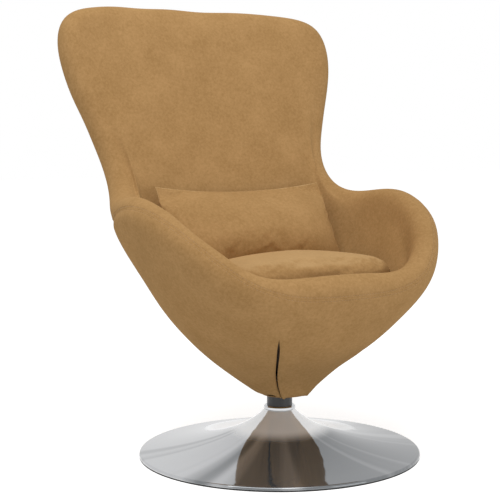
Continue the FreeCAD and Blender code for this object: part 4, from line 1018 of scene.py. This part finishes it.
def velvet(name):
    """Velvet: a calm, faintly mottled nap, with a painted sheen where it is seen along the cloth and painted
    light where the mesh notes it.
    """
    s = sizes("colours")
    material, tree, principled = shader(name)
    place = wired(tree, "TexCoord", "Object", {})
    clouds = wired(tree, "TexNoise", "Fac", {
        "Vector": place, "Scale": 14.0, "Detail": 8.0, "Roughness": 0.62, "Distortion": 0.3})
    grain = wired(tree, "TexNoise", "Fac", {
        "Vector": place, "Scale": 170.0, "Detail": 5.0, "Roughness": 0.7})
    both = wired(tree, "MixRGB", "Color", {"Fac": 0.6, "Color1": clouds, "Color2": grain})
    mottled = ramp(tree, both, (0.39, s.velvet_dark), (0.61, s.velvet_light))
    # Painted sheen: towards edge-on views the nap is mixed with a lighter colour
    grazing = wired(tree, "LayerWeight", "Facing", {"Blend": 0.18})
    painted_sheen_share = wired(tree, "Math", "Value", {0: grazing, 1: 0.55}, operation="MULTIPLY")
    tone = wired(tree, "MixRGB", "Color", {"Fac": painted_sheen_share, "Color1": mottled, "Color2": (*s.painted_sheen, 1)})
    # Painted light: where the mesh notes it, the nap is mixed towards a lighter colour
    painted_light_share = wired(tree, "Attribute", "Fac", {}, attribute_name="painted_light")
    with_painted_light = wired(tree, "MixRGB", "Color", {
        "Fac": painted_light_share, "Color1": tone, "Color2": (*s.painted_light, 1)})
    nap = wired(tree, "TexNoise", "Fac", {"Vector": place, "Scale": 900.0, "Detail": 3.0})
    bump = wired(tree, "Bump", "Normal", {"Strength": 0.15, "Distance": 0.0006, "Height": nap})
    fed(tree, principled, {
        "Base Color": with_painted_light, "Roughness": 0.95, "Specular IOR Level": 0.01, "Sheen Weight": 0.02,
        "Sheen Roughness": 0.4, "Sheen Tint": (1.0, 0.86, 0.66, 1), "Normal": bump})
    return material


# Distances from the axis between which the base's colour changes to the painted bright reflection of its
# neck, in metres
NECK_START = 0.115
NECK_END = 0.075


def chrome_with_painted_reflections(name):
    """Chrome with painted reflections: soft lighter and darker sweeps that run out from the middle, painted
    darker towards one side and painted bright up the neck.
    """
    s = sizes("colours")
    material, tree, principled = shader(name)
    place = wired(tree, "TexCoord", "Object", {})
    level = wired(tree, "VectorMath", "Vector", {0: place, 1: (1, 1, 0)}, operation="MULTIPLY")
    heading = wired(tree, "VectorMath", "Vector", {0: level}, operation="NORMALIZE")
    # Painted reflections: light and dark sweeps by heading from the axis, plus painted shade towards one
    # side
    painted_sweeps = wired(tree, "TexNoise", "Fac", {"Vector": heading, "Scale": 2.6, "Detail": 2.0})
    behind = wired(tree, "VectorMath", "Value", {0: heading, 1: (-0.10, 0.14, 0)},
                   operation="DOT_PRODUCT")
    painted_reflection_level = wired(tree, "Math", "Value", {0: painted_sweeps, 1: behind})
    painted_reflections = ramp(tree, painted_reflection_level, (0.38, s.chrome_painted_reflection_dark), (0.6, s.chrome), "EASE")
    radius = wired(tree, "VectorMath", "Value", {0: level}, operation="LENGTH")
    # Painted reflection up the neck: near white, with less metal so that the painted colour shows
    neck_painted_light_share = wired(tree, "MapRange", "Result", {
        "Value": radius, "From Min": NECK_START, "From Max": NECK_END}, interpolation_type="SMOOTHSTEP")
    tone = wired(tree, "MixRGB", "Color", {
        "Fac": neck_painted_light_share, "Color1": painted_reflections, "Color2": (*s.chrome_neck_painted_light, 1)})
    mirror = wired(tree, "MapRange", "Result", {"Value": neck_painted_light_share, "To Min": 0.74, "To Max": 0.46})
    fed(tree, principled, {"Base Color": tone, "Metallic": mirror, "Roughness": 0.04})
    return material


def plain(name, tone, roughness, metallic=0.0, specular=0.5):
    """An even finish with a faint unevenness in its gloss."""
    material, tree, principled = shader(name)
    place = wired(tree, "TexCoord", "Object", {})
    noise = wired(tree, "TexNoise", "Fac", {"Vector": place, "Scale": 60.0, "Detail": 4.0})
    spread = 0.15
    gloss = wired(tree, "MapRange", "Result", {
        "Value": noise, "To Min": roughness * (1 - spread), "To Max": roughness * (1 + spread)})
    fed(tree, principled, {
        "Base Color": (*tone, 1), "Metallic": metallic, "Specular IOR Level": specular,
        "Roughness": gloss})
    return material


def wood(name):
    """Plywood with a fine straight grain."""
    s = sizes("colours")
    material, tree, principled = shader(name)
    place = wired(tree, "TexCoord", "Object", {})
    stretch = wired(tree, "Mapping", "Vector", {"Vector": place, "Scale": (4.0, 60.0, 200.0)})
    grain = wired(tree, "TexNoise", "Fac", {"Vector": stretch, "Scale": 1.6, "Detail": 6.0})
    dark_share = 0.7
    dark = tuple(value * dark_share for value in s.plywood)
    tone = ramp(tree, grain, (0.0, dark), (1.0, s.plywood))
    fed(tree, principled, {"Base Color": tone, "Roughness": 0.6})
    return material


LINING_SOFT = ("rim_roll", "front_pad", "left_arm_pad", "right_arm_pad", "back_pad", "seat_foam")


class EGGCHAIR_OT_upholstery(bpy.types.Operator):
    """Build the covers and the stitches of the shell"""
    bl_idname = "egg_chair.upholstery"
    bl_label = "Build the upholstery"

    def execute(self, context):
        shell = ShellNet()
        nap = velvet("velvet")
        front = front_cover(shell)
        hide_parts("front_cover", "outer_wadding")
        back = back_cover(shell)
        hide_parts("back_cover")
        bottom = bottom_cover(shell)
        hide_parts("bottom_cover")
        inside = lining(shell)
        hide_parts("inner_cover", *LINING_SOFT)
        for piece in (front, back, bottom, inside):
            piece.data.materials.append(nap)
            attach(piece, "shell")
        thread = stitches(shell)
        thread.data.materials.append(plain("thread", sizes("colours").thread, roughness=0.7))
        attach(thread, "shell")
        return {"FINISHED"}


class EGGCHAIR_OT_cushion(bpy.types.Operator):
    """Build the loose seat cushion"""
    bl_idname = "egg_chair.cushion"
    bl_label = "Build the seat cushion"

    def execute(self, context):
        columns, rows = 264, 120
        along = np.linspace(0, len(CUSHION_ROW_SHARES) - 3, rows)
        cushion = closed_bag("cushion_velvet", cushion_net(), columns, along)
        remeshed(cushion, voxel=0.005)
        puffed(cushion, pressure=3.0, slack=0.012, cap=0.004)
        # Painted light: the faces that look upwards are painted lighter, as if lit more from above
        upward = np.empty(len(cushion.data.vertices) * 3, np.float32)
        cushion.data.vertices.foreach_get("normal", upward)
        painted_light(cushion, PAINTED_LIGHT_SHARE * smoothstep((upward[2::3] - PAINTED_LIGHT_START) / PAINTED_LIGHT_BLEND))
        rounded(cushion)
        cushion.data.materials.append(velvet("cushion_nap"))
        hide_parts("seat_cushion", "cushion_foam", "cushion_zip")
        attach(cushion, "cushion")
        return {"FINISHED"}


class EGGCHAIR_OT_pillow(bpy.types.Operator):
    """Build the loose lumbar pillow"""
    bl_idname = "egg_chair.pillow"
    bl_label = "Build the lumbar pillow"

    def execute(self, context):
        points, faces, front = pillow_skin()
        pillow = new_mesh("pillow_velvet", points, faces)
        edge = np.unique(np.concatenate([front[0], front[-1], front[:, 0], front[:, -1]]))
        # Painted highlight: the seams round the pillow's edges are painted lighter
        painted_light_amount = np.zeros(len(points))
        painted_light_amount[edge] = 1
        painted_light(pillow, painted_light_amount)
        puffed(pillow, pressure=4.0, slack=0.02, cap=0.010, held=edge)
        gap = sizes("pillow").rest
        points = coordinates(pillow.data)
        held_off(points, bpy.data.objects["lining_velvet"], (0, 1, 0), gap)
        held_off(points, bpy.data.objects["cushion_velvet"], (0, 0, -1), gap)
        pillow.data.vertices.foreach_set("co", points.ravel())
        rounded(pillow)
        pillow.data.materials.append(velvet("pillow_nap"))
        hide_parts("lumbar_pillow", "pillow_filling", "pillow_zip")
        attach(pillow, "pillow")
        return {"FINISHED"}


class EGGCHAIR_OT_finishes(bpy.types.Operator):
    """Give every carried-over piece its material"""
    bl_idname = "egg_chair.finishes"
    bl_label = "Dress the frame"

    def execute(self, context):
        s = sizes("colours")
        finishes = (
            (chrome_with_painted_reflections("polished_chrome"), ("base_disc",)),
            (plain("ring_chrome", s.chrome, roughness=0.06, metallic=1.0), ("neck_ring",)),
            (plain("bare_steel", s.steel, roughness=0.3, metallic=1.0), (
                "column_socket", "ballast_screws", "ballast_nuts", "lower_race", "bearing_balls",
                "upper_race", "spindle", "stop_washer", "spindle_clip", "plate_washers", "plate_bolts",
                "tee_nuts")),
            (plain("black_steel", s.black, roughness=0.38), ("column", "ballast_plate", "swivel_plate")),
            (plain("nylon", s.nylon, roughness=0.5), ("lower_bush", "upper_bush", "bearing_cage")),
            (plain("rubber", s.rubber, roughness=0.8, specular=0.3), ("base_gasket",)),
            (plain("moulded_shell", s.moulded, roughness=0.6), ("shell_core",)),
            (wood("plywood"), ("seat_board",)))
        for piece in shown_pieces():
            for finish, names in finishes:
                if piece.name in names:
                    piece.data.materials.clear()
                    piece.data.materials.append(finish)
        return {"FINISHED"}


# The studio in metres: half the floor's width, what the lights aim at, and each light's place and size
FLOOR_REACH = 14.0
FLOOR_WHITE = 0.9
LIGHT_AIM = (0, 0, 0.5)
KEY_PLACE = (-0.75, -0.6, 2.8)
KEY_SIZE = (2.2, 2.2)
FILL_PLACE = (1.2, -2.6, 0.6)
FILL_SIZE = (1.8, 1.2)
# The width of the camera's film in millimetres
FILM_WIDTH = 36.0


def area_light(name, place, size, power):
    """A rectangular light at a place, turned towards the chair."""
    lamp = bpy.data.lights.new(name, "AREA")
    lamp.shape = "RECTANGLE"
    lamp.size, lamp.size_y = size
    lamp.energy = power
    made = bpy.data.objects.new(name, lamp)
    bpy.context.collection.objects.link(made)
    made.location = place
    made.rotation_euler = (Vector(LIGHT_AIM) - Vector(place)).to_track_quat("-Z", "Y").to_euler()


def white_to_the_eye(tree, plain_shader, seen_shader):
    """One shader for the light on the object, another for the camera, gloss and glass."""
    path = tree.nodes.new("ShaderNodeLightPath")
    either = path.outputs["Is Camera Ray"]
    for ray in ("Is Glossy Ray", "Is Transmission Ray"):
        either = wired(tree, "Math", "Value", {0: either, 1: path.outputs[ray]}, operation="MAXIMUM")
    return wired(tree, "MixShader", "Shader", {"Fac": either, 1: plain_shader, 2: seen_shader})


def white_floor():
    """A white floor that glows a little to the camera, so that it is white and keeps its shadow."""
    material = bpy.data.materials.new("floor_paint")
    material.use_nodes = True
    tree = material.node_tree
    tree.nodes.clear()
    paint = wired(tree, "BsdfDiffuse", "BSDF", {"Color": (FLOOR_WHITE, FLOOR_WHITE, FLOOR_WHITE, 1)})
    glow = wired(tree, "Emission", "Emission", {"Strength": sizes("studio").floor_glow})
    both = wired(tree, "AddShader", "Shader", {0: paint, 1: glow})
    wired(tree, "OutputMaterial", None, {"Surface": white_to_the_eye(tree, paint, both)})
    return material


def white_world():
    """Even light all round, and pure white to the camera, the gloss and the glass."""
    world = bpy.data.worlds.new("surroundings")
    world.use_nodes = True
    tree = world.node_tree
    tree.nodes.clear()
    white = (1, 1, 1, 1)
    light = wired(tree, "Background", "Background", {
        "Color": white, "Strength": sizes("studio").world_level})
    pure = wired(tree, "Background", "Background", {"Color": white, "Strength": 1.0})
    wired(tree, "OutputWorld", None, {"Surface": white_to_the_eye(tree, light, pure)})
    return world


class EGGCHAIR_OT_studio(bpy.types.Operator):
    """Set up the floor, the surroundings, the lights and the camera"""
    bl_idname = "egg_chair.studio"
    bl_label = "Set up the studio"

    def execute(self, context):
        s = sizes("studio")
        scene = context.scene
        corners = np.array([(-1, -1, 0), (1, -1, 0), (1, 1, 0), (-1, 1, 0)]) * FLOOR_REACH
        floor = new_mesh("floor", corners, [[0, 1, 2, 3]])
        floor.data.materials.append(white_floor())
        floor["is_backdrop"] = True
        scene.world = white_world()
        area_light("key", KEY_PLACE, KEY_SIZE, s.key_power)
        area_light("fill", FILL_PLACE, FILL_SIZE, s.fill_power)
        eye = bpy.data.cameras.new("camera")
        eye.lens = s.lens
        eye.sensor_width = FILM_WIDTH
        eye.shift_x = s.shift
        camera = bpy.data.objects.new("camera", eye)
        context.collection.objects.link(camera)
        camera.location = (
            -s.camera_distance * math.sin(s.camera_azimuth), -s.camera_distance * math.cos(s.camera_azimuth),
            s.camera_height)
        camera.rotation_euler = (math.pi / 2 - s.camera_pitch, 0, -s.camera_azimuth)
        scene.camera = camera
        scene.view_settings.view_transform = "Standard"
        return {"FINISHED"}


class EGGCHAIR_PT_panel(bpy.types.Panel):
    """Egg chair"""
    bl_idname = "EGGCHAIR_PT_panel"
    bl_label = "Egg chair"
    bl_space_type = "VIEW_3D"
    bl_region_type = "UI"
    bl_category = "Egg chair"

    def draw(self, context):
        layout = self.layout
        for operator in OPERATORS:
            layout.operator(operator.bl_idname)
        for name, group in GROUPS:
            box = layout.box()
            box.label(text=name.capitalize())
            for key in group.__annotations__:
                box.prop(getattr(context.scene, "egg_chair_" + name), key)


GROUPS = (
    ("shell", ShellSizes), ("sewing", SewingSizes), ("cushion", CushionSizes), ("pillow", PillowSizes),
    ("colours", FinishColours), ("studio", StudioSizes))
OPERATORS = (
    EGGCHAIR_OT_upholstery, EGGCHAIR_OT_cushion, EGGCHAIR_OT_pillow, EGGCHAIR_OT_finishes,
    EGGCHAIR_OT_studio)


def register():
    """Register the property groups, the operators and the panel."""
    for name, group in GROUPS:
        bpy.utils.register_class(group)
        setattr(bpy.types.Scene, "egg_chair_" + name, PointerProperty(type=group))
    for operator in OPERATORS + (EGGCHAIR_PT_panel,):
        bpy.utils.register_class(operator)


def unregister():
    """Take everything out again."""
    for operator in (EGGCHAIR_PT_panel,) + OPERATORS[::-1]:
        bpy.utils.unregister_class(operator)
    for name, group in GROUPS[::-1]:
        delattr(bpy.types.Scene, "egg_chair_" + name)
        bpy.utils.unregister_class(group)


def main():
    """Build the whole chair and its studio."""
    register()
    bpy.ops.egg_chair.finishes()
    bpy.ops.egg_chair.upholstery()
    bpy.ops.egg_chair.cushion()
    bpy.ops.egg_chair.pillow()
    bpy.ops.egg_chair.studio()


if __name__ == "__main__":
    main()
